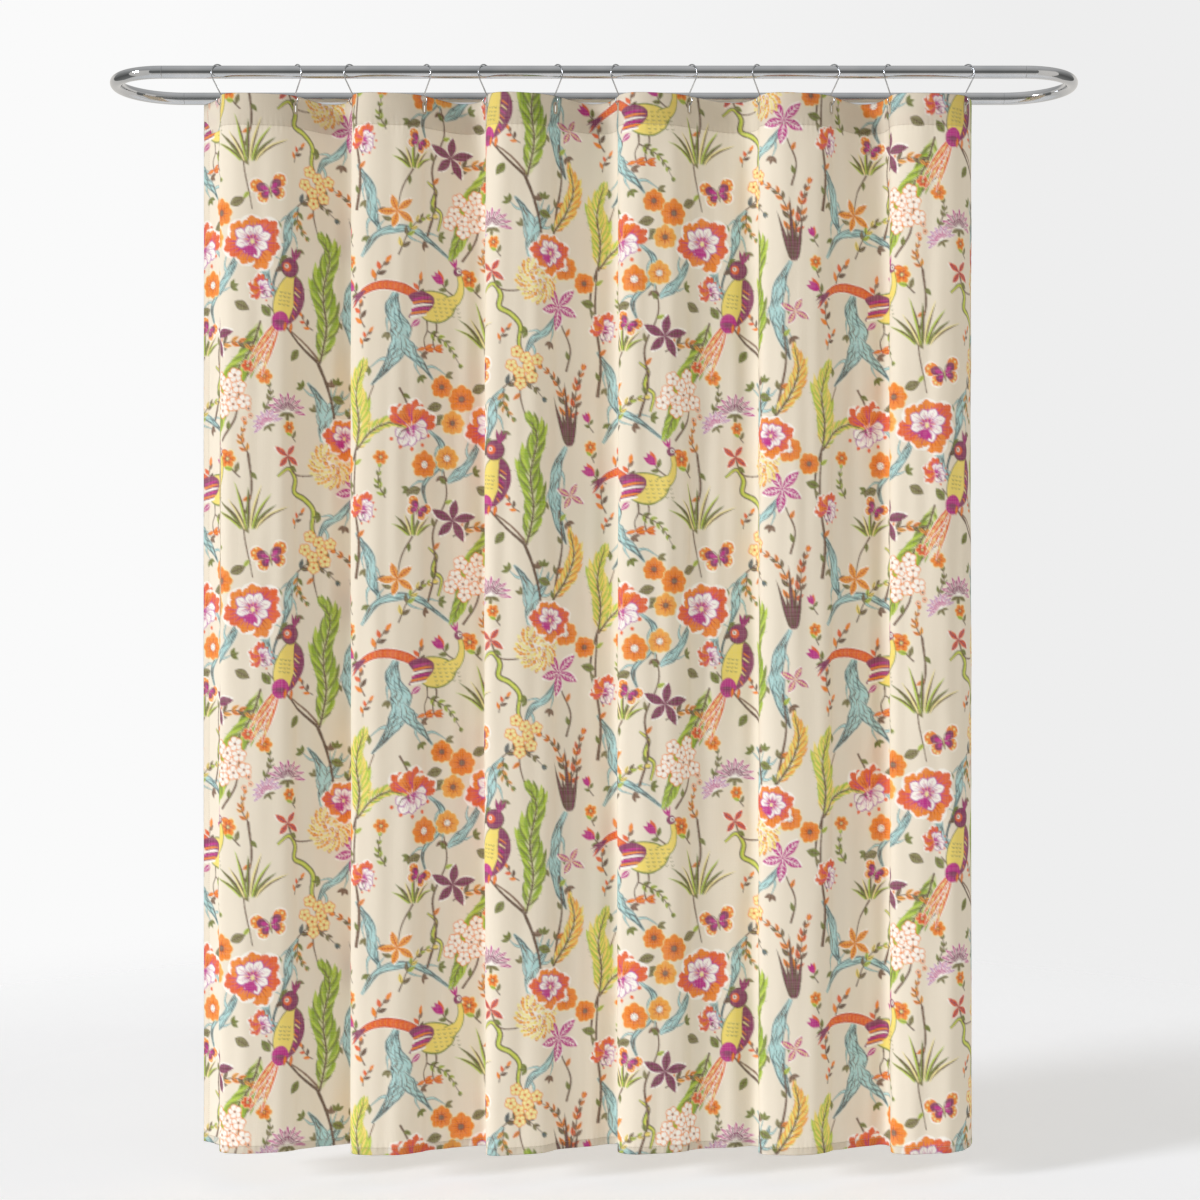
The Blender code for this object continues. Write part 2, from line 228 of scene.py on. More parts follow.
LIGHT_THROUGH = 0.22  # share of the light that the cloth lets through
REVERSE_PALE = 0.55  # how far the print fades into the ground on the reverse


def add_node(tree, kind, inputs=(), stops=(), **settings):
    """Adds a node with its settings and a ramp's stops, and sets or links the given inputs."""
    made = tree.nodes.new("ShaderNode" + kind)
    for name, value in settings.items():
        setattr(made, name, value)
    for _ in stops[2:]:
        made.color_ramp.elements.new(1.0)
    for number, (place, colour) in enumerate(stops):
        stop = made.color_ramp.elements[number]
        stop.position, stop.color = place, colour
    for name, value in dict(inputs).items():
        socket = made.inputs[name]
        if isinstance(value, bpy.types.NodeSocket):
            tree.links.new(value, socket)
        else:
            socket.default_value = value
    return made


def material_named(name):
    """Makes a material once, from a function that returns its shader, and gives it again."""

    def with_build(build):
        def give():
            material = bpy.data.materials.get(name)
            if material is None:
                material = bpy.data.materials.new(name)
                material.use_nodes = True
                tree = material.node_tree
                tree.nodes.clear()
                out = add_node(tree, "OutputMaterial")
                tree.links.new(build(tree).outputs[0], out.inputs["Surface"])
            return material

        return give

    return with_build


@material_named("bright_chrome_plate")
def chrome_plate(tree):
    """Bright chrome plate on steel tube: a mirror with the haze and specks of wiping."""
    place = add_node(tree, "TexCoord").outputs["Object"]
    # wiping leaves haze in patches of about 60 mm
    haze = add_node(tree, "TexNoise", {"Vector": place, "Scale": 16.0, "Detail": 3.0})
    # dried specks are about 1 mm, drawn at 3 mm to show
    speck = add_node(tree, "TexVoronoi", {"Vector": place, "Scale": 330.0})
    spots = add_node(
        tree,
        "MapRange",
        {"Value": speck.outputs["Distance"], "From Min": 0.05, "From Max": 0.16, "To Min": 0.05,
         "To Max": 0.0},
    )
    rough = add_node(
        tree,
        "MapRange",
        {"Value": haze.outputs["Fac"], "From Min": 0.3, "From Max": 0.7, "To Min": 0.03,
         "To Max": 0.08},
    )
    total = add_node(tree, "Math", {0: rough.outputs[0], 1: spots.outputs[0]}, operation="ADD")
    tint = add_node(
        tree, "ValToRGB", {"Fac": haze.outputs["Fac"]},
        stops=((0.3, rgba("#c3c6c9")), (0.7, rgba("#d2d3d5"))),
    )
    ripple = add_node(tree, "TexNoise", {"Vector": place, "Scale": 45.0, "Detail": 2.0})
    bump = add_node(
        tree, "Bump", {"Height": ripple.outputs["Fac"], "Strength": 0.12, "Distance": 0.0002}
    )
    plate = add_node(
        tree,
        "BsdfPrincipled",
        {"Base Color": tint.outputs["Color"], "Metallic": 1.0, "Roughness": total.outputs[0],
         "Normal": bump.outputs["Normal"]},
    )
    return plate


@material_named("nickel_plated_wire")
def drawn_wire(tree):
    """Nickel-plated spring wire: grey metal with faint lines from drawing through a die."""
    place = add_node(tree, "TexCoord").outputs["Object"]
    # die lines are some 0.1 mm apart, drawn at 1 mm
    grain = add_node(tree, "TexNoise", {"Vector": place, "Scale": 900.0, "Detail": 2.0})
    wear = add_node(tree, "TexNoise", {"Vector": place, "Scale": 60.0, "Detail": 3.0})
    tint = add_node(
        tree, "ValToRGB", {"Fac": wear.outputs["Fac"]},
        stops=((0.35, rgba("#b2b4b6")), (0.65, rgba("#d0d2d4"))),
    )
    rough = add_node(
        tree, "MapRange", {"Value": wear.outputs["Fac"], "To Min": 0.16, "To Max": 0.34}
    )
    bump = add_node(
        tree, "Bump", {"Height": grain.outputs["Fac"], "Strength": 0.2, "Distance": 0.0001}
    )
    wire = add_node(
        tree,
        "BsdfPrincipled",
        {"Base Color": tint.outputs["Color"], "Metallic": 1.0, "Roughness": rough.outputs[0],
         "Normal": bump.outputs["Normal"]},
    )
    return wire


@material_named("machined_steel")
def machined_steel(tree):
    """Plain machined steel of the sleeves and grub screws: dull, with fine tool rings."""
    place = add_node(tree, "TexCoord").outputs["Object"]
    # tool rings 0.3 mm apart
    rings = add_node(
        tree, "TexWave", {"Vector": place, "Scale": 1000.0, "Distortion": 1.5, "Detail": 2.0}
    )
    tint = add_node(
        tree, "ValToRGB", {"Fac": rings.outputs["Fac"]},
        stops=((0.0, rgba("#77787a")), (1.0, rgba("#9a9b9c"))),
    )
    rough = add_node(
        tree, "MapRange", {"Value": rings.outputs["Fac"], "To Min": 0.3, "To Max": 0.42}
    )
    bump = add_node(
        tree, "Bump", {"Height": rings.outputs["Fac"], "Strength": 0.2, "Distance": 0.0001}
    )
    steel = add_node(
        tree,
        "BsdfPrincipled",
        {"Base Color": tint.outputs["Color"], "Metallic": 1.0, "Roughness": rough.outputs[0],
         "Normal": bump.outputs["Normal"]},
    )
    return steel


@material_named("cotton_sewing_thread")
def sewing_thread(tree):
    """Ecru cotton sewing thread: matt, with its plies twisted round each other and painted shade in the
    grooves between them.
    """
    along = add_node(tree, "UVMap", uv_map="Thread").outputs["UV"]
    # one ridge for each pass of the needle
    plies = add_node(
        tree, "TexWave", {"Vector": along, "Scale": 12.0, "Distortion": 0.6},
        bands_direction="DIAGONAL",
    )
    fuzz = add_node(tree, "TexNoise", {"Vector": along, "Scale": 60.0, "Detail": 3.0})
    # painted shade: darker in the grooves between the plies and lighter on their crowns, as the bump
    tint = add_node(
        tree, "ValToRGB", {"Fac": plies.outputs["Fac"]},
        stops=((0.0, rgba("#b3a58c")), (1.0, rgba("#d8ccb6"))),
    )
    # fuzz varies the tone at random over the painted ply shade
    shaded_fuzzy_plies = add_node(
        tree,
        "Mix",
        {"Factor": 0.25, 6: tint.outputs["Color"], 7: fuzz.outputs["Color"]},
        data_type="RGBA",
        blend_type="SOFT_LIGHT",
    )
    bump = add_node(
        tree, "Bump", {"Height": plies.outputs["Fac"], "Strength": 0.7, "Distance": 0.0004}
    )
    thread = add_node(
        tree,
        "BsdfPrincipled",
        {"Base Color": shaded_fuzzy_plies.outputs[2], "Roughness": 0.85, "Specular IOR Level": 0.2,
         "Sheen Weight": 0.2, "Sheen Roughness": 0.5, "Normal": bump.outputs["Normal"]},
    )
    return thread


@material_named("printed_slub_cotton")
def printed_cotton(tree):
    """Slub cotton with a screen print: matt, the weave breaks the inks up and lets light
    through, so that hems look darker, and the reverse shows the print faintly. The hems'
    print colours also carry painted shade."""
    ink = add_node(tree, "Attribute", attribute_name="Print").outputs["Color"]
    flat = add_node(tree, "UVMap", uv_map="Flat").outputs["UV"]

    # slubs: thick stretches of yarn 40 to 80 mm long and about 2 mm wide
    slubs = []
    for scale, start in (((14.0, 340.0, 1.0), 3.0), ((360.0, 11.0, 1.0), 9.0)):
        place = add_node(
            tree, "Mapping", {"Vector": flat, "Scale": scale, "Location": (start, start, 0)}
        )
        slubs.append(add_node(
            tree, "TexNoise", {"Vector": place.outputs[0], "Scale": 1.0, "Detail": 2.0}
        ).outputs["Fac"])
    # threads are 0.5 mm apart, drawn at 1.5 mm to show
    threads = []
    for direction in ("X", "Y"):
        threads.append(add_node(
            tree, "TexWave",
            {"Vector": flat, "Scale": 210.0, "Distortion": 1.2, "Detail": 1.0, "Detail Scale": 2.0},
            bands_direction=direction,
        ).outputs["Fac"])
    slub = add_node(tree, "Math", dict(enumerate(slubs)), operation="ADD").outputs[0]
    weave = add_node(tree, "Math", dict(enumerate(threads)), operation="MULTIPLY").outputs[0]
    # ink sits on the threads' crowns and leaves the gaps undyed
    gaps = add_node(
        tree, "MapRange", {"Value": slub, "From Min": 0.8, "From Max": 1.35, "To Min": 0.0,
                           "To Max": 0.13}
    ).outputs[0]
    settings = bpy.context.scene.curtain_print
    broken = add_node(
        tree, "Mix", {"Factor": gaps, 6: ink, 7: (*settings.ground, 1.0)}, data_type="RGBA"
    ).outputs[2]
    shade = add_node(
        tree, "ValToRGB", {"Fac": slub},
        stops=((0.35, (0.93, 0.92, 0.905, 1)), (0.65, (1.02, 1.02, 1.02, 1))),
    )
    yarn = add_node(
        tree,
        "Mix",
        {"Factor": 1.0, 6: broken, 7: shade.outputs["Color"]},
        data_type="RGBA",
        blend_type="MULTIPLY",
    ).outputs[2]
    behind = add_node(tree, "NewGeometry").outputs["Backfacing"]
    show_through = add_node(
        tree, "Math", {0: behind, 1: REVERSE_PALE}, operation="MULTIPLY"
    ).outputs[0]
    face = add_node(
        tree, "Mix", {"Factor": show_through, 6: yarn, 7: (*settings.ground, 1.0)},
        data_type="RGBA",
    ).outputs[2]
    height = add_node(tree, "Math", {0: weave, 1: slub}, operation="ADD").outputs[0]
    bump = add_node(
        tree, "Bump", {"Height": height, "Strength": 0.35, "Distance": 0.0005}
    ).outputs["Normal"]
    cotton = add_node(
        tree,
        "BsdfPrincipled",
        {"Base Color": face, "Roughness": 0.9, "Specular IOR Level": 0.15, "Sheen Weight": 0.12,
         "Sheen Roughness": 0.5, "Normal": bump},
    )
    glow = add_node(tree, "BsdfTranslucent", {"Color": face})
    both = add_node(tree, "MixShader", {"Fac": LIGHT_THROUGH, 1: cotton.outputs[0], 2: glow.outputs[0]})
    return both


@material_named("pale_studio_floor")
def stage_floor(tree):
    """Matt pale studio floor that fades into the backdrop at its edge."""
    place = add_node(tree, "TexCoord").outputs["Object"]
    flat = add_node(tree, "VectorMath", {0: place, 1: (1.0, 1.0, 0.0)}, operation="MULTIPLY")
    away = add_node(tree, "VectorMath", {0: flat.outputs[0]}, operation="LENGTH").outputs["Value"]
    fade = add_node(
        tree,
        "MapRange",
        {"Value": away, "From Min": 1.1, "From Max": 2.9, "To Min": 1.0, "To Max": 0.0},
        interpolation_type="SMOOTHSTEP",
    ).outputs[0]
    mottle = add_node(tree, "TexNoise", {"Vector": place, "Scale": 1.5, "Detail": 2.0})
    tint = add_node(
        tree, "ValToRGB", {"Fac": mottle.outputs["Fac"]},
        stops=((0.3, rgba("#f6f7f8")), (0.7, rgba("#fafbfc"))),
    )
    floor = add_node(
        tree,
        "BsdfPrincipled",
        {"Base Color": tint.outputs["Color"], "Roughness": 0.7, "Specular IOR Level": 0.2,
         "Emission Color": (1.0, 1.0, 1.0, 1.0), "Emission Strength": 0.16, "Alpha": fade},
    )
    return floor


@material_named("seamless_backdrop_paper")
def backdrop_paper(tree):
    """Seamless backdrop paper, a shade lighter on the left, from where it is lit."""
    place = add_node(tree, "TexCoord").outputs["Object"]
    across = add_node(tree, "SeparateXYZ", {0: place}).outputs["X"]
    share = add_node(tree, "MapRange", {"Value": across, "From Min": -2.4, "From Max": 2.4})
    tint = add_node(
        tree, "ValToRGB", {"Fac": share.outputs[0]},
        stops=((0.0, rgba("#fafafa")), (1.0, rgba("#eeeeee"))),
    )
    glow = add_node(tree, "Emission", {"Color": tint.outputs["Color"]})
    return glow


@material_named("matt_grey_card")
def grey_card(tree):
    """Matt grey card, darkest in its middle."""
    place = add_node(tree, "TexCoord").outputs["Object"]
    height = add_node(tree, "SeparateXYZ", {0: place}).outputs["Z"]
    share = add_node(tree, "MapRange", {"Value": height, "From Min": -1.35, "From Max": 1.15})
    tint = add_node(
        tree, "ValToRGB", {"Fac": share.outputs[0]},
        stops=((0.0, rgba("#8a8a88")), (0.5, rgba("#626260")), (1.0, rgba("#b0b0ae"))),
    )
    glow = add_node(tree, "Emission", {"Color": tint.outputs["Color"]})
    return glow


# The print: one half-drop repeat, drawn in millimetres

REPEAT_WIDTH = 508.0  # 20 inches from column to column
REPEAT_HEIGHT = 635.0  # 25 inches, and each column is dropped by half of it
INK_STEP = 0.5  # millimetres between the points that the print is drawn on
PRINT_LEFT, PRINT_TOP = 118, 40  # where in the repeat the curtain's top left corner was cut
GOLDEN_TURN = 2.39996  # spreads things evenly over a round head


def smooth_line(points, steps=6, closed=False):
    """Points on a smooth curve that passes through the given ones."""
    p = np.asarray(points, float)
    if closed:
        p = np.vstack((p[-1:], p, p[:2]))
    else:
        p = np.vstack((2 * p[0] - p[1], p, 2 * p[-1] - p[-2]))
    u = np.linspace(0, 1, steps, endpoint=False)[:, None]
    a, b, c, d = (p[i : len(p) - 3 + i, None] for i in range(4))
    curve = 0.5 * (
        2 * b + (c - a) * u + (2 * a - 5 * b + 4 * c - d) * u**2 + (3 * b - a - 3 * c + d) * u**3
    )
    curve = curve.reshape(-1, 2)
    return curve if closed else np.vstack((curve, p[-2]))


def ribbon(line, widths):
    """The outline of a stroke along a line, with widths given from its start to its end."""
    line = np.asarray(line, float)
    along = np.gradient(line, axis=0)
    across = np.stack((-along[:, 1], along[:, 0]), 1)
    across /= np.hypot(across[:, 0], across[:, 1])[:, None] + 1e-9
    share = np.linspace(0, 1, len(line))
    half = 0.5 * np.interp(share, np.linspace(0, 1, len(widths)), widths)[:, None]
    return np.vstack((line + across * half, (line - across * half)[::-1]))


def leaf_outline(length, width, bend=0.0, fullest=0.45, blunt=1.0, ragged=0.0):
    """A leaf or petal from its foot at the origin, along +x, curling by bend."""
    u = np.linspace(0, 1, 25 if ragged else 12)
    line = np.stack((u * length, bend * length * u * u), 1)
    swell = np.sin(np.pi * u ** (math.log(0.5) / math.log(fullest))).clip(0) ** blunt
    swell *= 1 + ragged * u * np.where(np.arange(len(u)) % 2, 1, -1)
    return ribbon(line, width * swell)


def heading_at(along, k):
    """The way a line runs at one of its points, as an angle."""
    return math.atan2(along[k, 1], along[k, 0])


class Cloth:
    """One repeat of the printed cloth, as an array of linear colours."""

    def __init__(self, inks):
        self.inks = inks
        self.rows = round(REPEAT_HEIGHT / INK_STEP)
        self.cols = round(REPEAT_WIDTH / INK_STEP)
        self.colour = np.empty((self.rows, self.cols, 3))
        self.colour[:] = inks["ground"]

    def fill(self, points, ink, strength=1.0):
        """Prints a closed shape, and again wherever the repeat brings it back."""
        low, high = points.min(0), points.max(0)
        for column in (-1, 0, 1):
            for drop in (-1, 0, 1):
                shift = (column * REPEAT_WIDTH, (column * 0.5 + drop) * REPEAT_HEIGHT)
                x0 = max(0, int((low[0] + shift[0]) / INK_STEP))
                x1 = min(self.cols, int((high[0] + shift[0]) / INK_STEP) + 2)
                y0 = max(0, int((low[1] + shift[1]) / INK_STEP))
                y1 = min(self.rows, int((high[1] + shift[1]) / INK_STEP) + 2)
                if x0 < x1 and y0 < y1:
                    self._cover(points + shift, x0, x1, y0, y1, self.inks[ink], strength)

    def cells(self, x, y):
        """Rows and columns of the array at places on the endless cloth, in millimetres."""
        column = np.floor(x / REPEAT_WIDTH)
        col = ((x - column * REPEAT_WIDTH) / INK_STEP).astype(int).clip(0, self.cols - 1)
        row = ((y - column * REPEAT_HEIGHT / 2) % REPEAT_HEIGHT / INK_STEP).astype(int)
        return row.clip(0, self.rows - 1), col

    def bare(self, x, y, reach):
        """Whether the cloth is still unprinted within reach of a place."""
        near = np.arange(-reach, reach, 2.0)
        cells = self.cells(*np.broadcast_arrays(x + near[None, :], y + near[:, None]))
        return (self.colour[cells] == self.inks["ground"]).all()

    def _cover(self, points, x0, x1, y0, y1, colour, strength):
        x = (np.arange(x0, x1) + 0.5) * INK_STEP
        y = (np.arange(y0, y1) + 0.5)[:, None] * INK_STEP
        ax, ay = points[:, 0], points[:, 1]
        bx, by = np.roll(ax, -1), np.roll(ay, -1)
        spans = (ay <= y) != (by <= y)
        rise = np.where(by == ay, 1.0, by - ay)
        cross = np.where(spans, ax + (y - ay) * (bx - ax) / rise, np.inf)
        inside = (cross[:, None, :] < x[None, :, None]).sum(2) % 2 == 1
        part = self.colour[y0:y1, x0:x1]
        part[inside] += strength * (np.asarray(colour) - part[inside])


class Pen:
    """Prints about a point of the cloth, turned, sized and flipped."""

    def __init__(self, cloth, x=0.0, y=0.0, turn=0.0, size=1.0, flip=False, frame=None):
        self.cloth = cloth
        c, s = size * math.cos(turn), size * math.sin(turn)
        local = np.array(((c, -s, x), (s, c, y), (0, 0, 1)))
        if flip:
            local = local @ np.diag((-1.0, 1.0, 1.0))
        self.frame = local if frame is None else frame @ local

    def at(self, x, y, turn=0.0, size=1.0, flip=False):
        return Pen(self.cloth, x, y, turn, size, flip, self.frame)

    def fill(self, points, ink, strength=1.0):
        points = np.asarray(points, float)
        self.cloth.fill(points @ self.frame[:2, :2].T + self.frame[:2, 2], ink, strength)

    def shape(self, points, ink, strength=1.0):
        self.fill(smooth_line(points, closed=True), ink, strength)

    def line(self, points, widths, ink, strength=1.0, smooth=True):
        line = smooth_line(points) if smooth and len(points) > 2 else points
        self.fill(ribbon(line, widths), ink, strength)

    def ray(self, turn, reach, start, end, widths, ink):
        """A straight streak outwards, from and to given shares of its reach."""
        c, s = math.cos(turn), math.sin(turn)
        ends = np.array(((c, s),)) * reach * np.array(((start,), (end,)))
        self.line(ends, widths, ink)

    def disc(self, x, y, radius, ink, strength=1.0, tall=1.0):
        turn = np.linspace(0, 2 * np.pi, 20, endpoint=False)
        ring = np.stack((x + radius * np.cos(turn), y + tall * radius * np.sin(turn)), 1)
        self.fill(ring, ink, strength)

    def leaf(self, x, y, turn, length, width, ink, rib=None, edge=None, **shape):
        pen = self.at(x, y, turn)
        bend = shape.get("bend", 0.0)
        if edge:
            pen.at(-0.9, 0).fill(leaf_outline(length + 2.2, width + 2.2, **shape), edge)
        pen.fill(leaf_outline(length, width, **shape), ink)
        if rib:
            u = np.linspace(0.05, 0.85, 6)
            middle = np.stack((u * length, bend * length * u * u), 1)
            pen.fill(ribbon(middle, (1.5, 0.9)), rib)
            if width > 9:
                for share in (0.25, 0.42, 0.59, 0.74):
                    foot = np.array((share * length, bend * length * share**2))
                    for side in (-1, 1):
                        tip = foot + (0.13 * length, side * 0.32 * width)
                        pen.fill(ribbon(np.stack((foot, tip)), (1.2, 0.7)), rib)


def turns(count, start=0.0, sweep=2 * math.pi):
    """Evenly spread headings, as a full round or a fan."""
    full = abs(sweep - 2 * math.pi) < 1e-6
    return [start + sweep * i / (count if full else count - 1) for i in range(count)]


def print_daisy(pen, radius, ink, heart, petals=8, edge="straw"):
    """A simple open flower; its petals are parted by pale lines."""
    for i, turn in enumerate(turns(petals)):
        long = radius * (1 + 0.06 * math.sin(i * 2.4))
        pen.leaf(0, 0, turn, long + 1.2, radius * 0.8, edge, fullest=0.66, blunt=0.65)
    for i, turn in enumerate(turns(petals)):
        long = radius * (1 + 0.06 * math.sin(i * 2.4))
        pen.leaf(
            0, 0, turn, long, radius * 0.66, ink, fullest=0.67, blunt=0.65, ragged=0.08
        )
        for part in (-0.16, 0.14):
            pen.ray(turn + part, radius, 0.3, 0.62 + 0.5 * part, (1.6, 0.5), "rust")
    pen.disc(0, 0, radius * 0.27, "ivory" if heart == "ivory" else "rust")
    pen.disc(0, 0, radius * 0.22, heart)
    for turn in turns(9, 0.3):
        c, s = radius * 0.2 * math.cos(turn), radius * 0.2 * math.sin(turn)
        pen.line(((0.6 * c, 0.6 * s), (1.5 * c, 1.5 * s)), (0.9, 0.7), "bark")


def print_petal(pen, turn, long, wide, ink, streak):
    """A frilled petal: a split, ragged tip over a pale halo, and streaks from its foot."""
    pen.leaf(0, 0, turn, long * 1.04 + 1, wide * 1.05, "ivory", fullest=0.72, blunt=0.7)
    for lean, share in ((-0.3, 0.86), (0.28, 0.92), (0.0, 1.0)):
        pen.leaf(
            0, 0, turn + lean, long * share, wide * 0.5, ink, fullest=0.76, blunt=0.75,
            ragged=0.2,
        )
    for lean, foot, tip in (
        (-0.32, 0.4, 0.7), (-0.13, 0.25, 0.82), (0.06, 0.3, 0.74), (0.25, 0.35, 0.8)
    ):
        pen.ray(turn + lean, long, foot, tip, (wide * 0.1, 0.4), streak)


def print_heart(pen, radius, count, start, sweep=2 * math.pi):
    """White inner petals, outlined and streaked in violet and magenta."""
    for i, turn in enumerate(turns(count, start, sweep)):
        long = radius * (1 + 0.14 * math.sin(i * 2.1))
        pen.leaf(0, 0, turn, long + 1.4, radius * 0.66, "violet", fullest=0.7, ragged=0.12)
        pen.leaf(0, 0, turn, long, radius * 0.54, "ivory", fullest=0.7, ragged=0.12)
        for lean, tip in ((-0.16, 0.7), (0.02, 0.86), (0.18, 0.62)):
            ink = "magenta" if lean > 0 else "violet"
            pen.ray(turn + lean, long, 0.12, tip, (1.8, 0.4), ink)


def print_peony(pen, radius):
    """An open flower: frilled coral petals round a white, violet-streaked heart."""
    for i, turn in enumerate(turns(7, 0.2)):
        long = radius * (0.98 + 0.12 * math.sin(i * 2.4))
        ink, streak = (("coral", "magenta"), ("orange", "rust"), ("orange", "magenta"))[i % 3]
        print_petal(pen, turn, long, radius * 0.72, ink, streak)
    print_heart(pen.at(0, -radius * 0.06), radius * 0.58, 8, 0.5)
    for turn in turns(5, 1.2, 1.4):
        pen.leaf(0, radius * 0.1, turn, radius * 0.42, radius * 0.14, "magenta", fullest=0.6)
    pen.disc(0, 0, radius * 0.07, "straw")


def print_tulip(pen, radius):
    """A flower seen from its side, its foot at the origin and its petals up."""
    for i, turn in enumerate(turns(5, -2.6, 1.9)):
        ink, streak = (("coral", "magenta"), ("orange", "rust"))[i % 2]
        print_petal(pen, turn, radius * (1.04, 0.86)[i % 2], radius * 0.6, ink, streak)
    print_heart(pen.at(-4, -2), radius * 0.66, 6, -0.4, 2.7)
    for turn in turns(6, -0.4, 2.7):
        c, s = math.cos(turn), math.sin(turn)
        tip = np.array((-4 + radius * 0.7 * c, -2 + radius * 0.7 * s))
        pen.leaf(*tip, turn, radius * 0.16, radius * 0.14, "coral", ragged=0.2)
    pen.leaf(-6, -3, 0.9, radius * 0.42, radius * 0.26, "magenta", rib="ivory")
    stem = ((-2, 4), (-radius * 0.3, radius * 0.16), (-radius * 0.4, radius * 0.5))
    pen.line(stem, (2.4, 1.2), "bark")


def print_mum(pen, radius, inks=("magenta", "plum")):
    """A shaggy flower seen from its side, with narrow petals of two lengths."""
    for i, turn in enumerate(turns(17, -2.9, 2.7)):
        long = radius * (1.0 - 0.2 * (i % 2))
        curl = 0.28 * math.cos(turn)
        pen.leaf(0, 0, turn, long + 1, radius * 0.2, "ivory", bend=curl, fullest=0.7)
        pen.leaf(
            0, 0, turn, long, radius * 0.15, inks[i % 2], bend=curl, fullest=0.7, rib="ivory"
        )
    for turn in turns(9, -2.5, 1.9):
        pen.leaf(0, 0, turn, radius * 0.5, radius * 0.15, inks[1], rib="ivory", fullest=0.7)
    for turn in (0.5, 1.6, 2.7):
        pen.leaf(0, 0, turn, radius * 0.5, radius * 0.2, "olive", rib="bark")


def print_seed_head(pen, radius):
    """A round head of little yellow leaves with rust-coloured specks."""
    pen.disc(0, 0, radius * 1.02, "ivory", 0.75)
    for i in range(110):
        out = radius * math.sqrt(i / 110)
        turn = i * GOLDEN_TURN
        x, y = out * math.cos(turn), out * math.sin(turn)
        ink = ("yellow", "amber", "straw")[i % 3]
        pen.leaf(x, y, turn + 0.4, 6.5, 4.6, ink, edge="straw" if i % 4 else "rust")
        if i % 3 == 0:
            pen.disc(x, y, 1.1, "rust")


def print_florets(pen, radius, count=9, ink="ivory", heart="slate"):
    """A round cluster of small five-petalled flowers."""
    for i in range(count):
        out = radius * math.sqrt((i + 0.3) / count)
        turn = i * GOLDEN_TURN
        near = pen.at(out * math.cos(turn), out * math.sin(turn), i * 0.7)
        size = radius * 0.36
        for heading in turns(5):
            near.leaf(0, 0, heading, size, size * 0.95, "orange", fullest=0.6, blunt=0.6)
            near.leaf(0, 0, heading, size - 1.3, size * 0.72, ink, fullest=0.6, blunt=0.6)
        near.disc(0, 0, 2.6, "orange")
        near.disc(0, 0, 1.7, heart)


def print_spray(pen, spine, count, long, inks, lean=0.85, rib="bark"):
    """Leaves in pairs along a stem."""
    line = smooth_line(spine)
    along = np.gradient(line, axis=0)
    pen.line(spine, (2.6, 1.2), "bark")
    for i in range(count):
        share = 0.15 + 0.85 * i / (count - 1)
        k = int(share * (len(line) - 1))
        heading = heading_at(along, k)
        size = long * (1 - 0.45 * share)
        for side in (-1, 1):
            turn = heading + side * lean * (1 - 0.4 * share)
            ink = inks[(i + (side > 0)) % len(inks)]
            pen.leaf(
                *line[k], turn, size, size * 0.4, ink, bend=-0.2 * side, ragged=0.12,
                rib=rib if ink != rib else "olive",
            )
    pen.leaf(*line[-1], heading, long * 0.6, long * 0.24, inks[0])


def print_plume(pen, spine, reach, inks, count=20):
    """A long feathery leaf: narrow leaflets up both sides of a rib, parted by the cloth."""
    line = smooth_line(spine, 10)
    along = np.gradient(line, axis=0)
    share = np.linspace(0, 1, 24)
    pen.line(spine, reach * 0.8 * np.sin(np.pi * share**0.75).clip(0) ** 0.7, inks[0], 0.45)
    for i in range(count):
        u = 0.06 + 0.94 * i / (count - 1)
        k = int(u * (len(line) - 1))
        heading = heading_at(along, k)
        size = reach * (0.5 + 0.8 * math.sin(math.pi * min(1, u**0.8)))
        size *= 1 + 0.12 * math.sin(i * 2.4)
        for side in (-1, 1):
            turn = heading + side * (0.8 - 0.42 * u)
            ink = inks[1 + (i + (side > 0)) % (len(inks) - 1)]
            pen.leaf(
                *line[k], turn, size, size * 0.15 + 1.6, ink, bend=-0.3 * side, fullest=0.6
            )
            tip = line[k] + size * np.array((math.cos(turn), math.sin(turn)))
            middle = (line[k] + tip) / 2 + 0.12 * size * side * np.array(
                (math.sin(heading), -math.cos(heading))
            )
            if (i + side) % 3:
                end = tip - 0.25 * (tip - line[k])
                edge = smooth_line((line[k], middle * 0.98 + tip * 0.02, end))
                pen.fill(ribbon(edge, (1.5, 0.9, 0.4)), "bark" if i % 4 == 0 else "moss")
    pen.line(spine, (3.4, 2.6, 1.2), "bark")


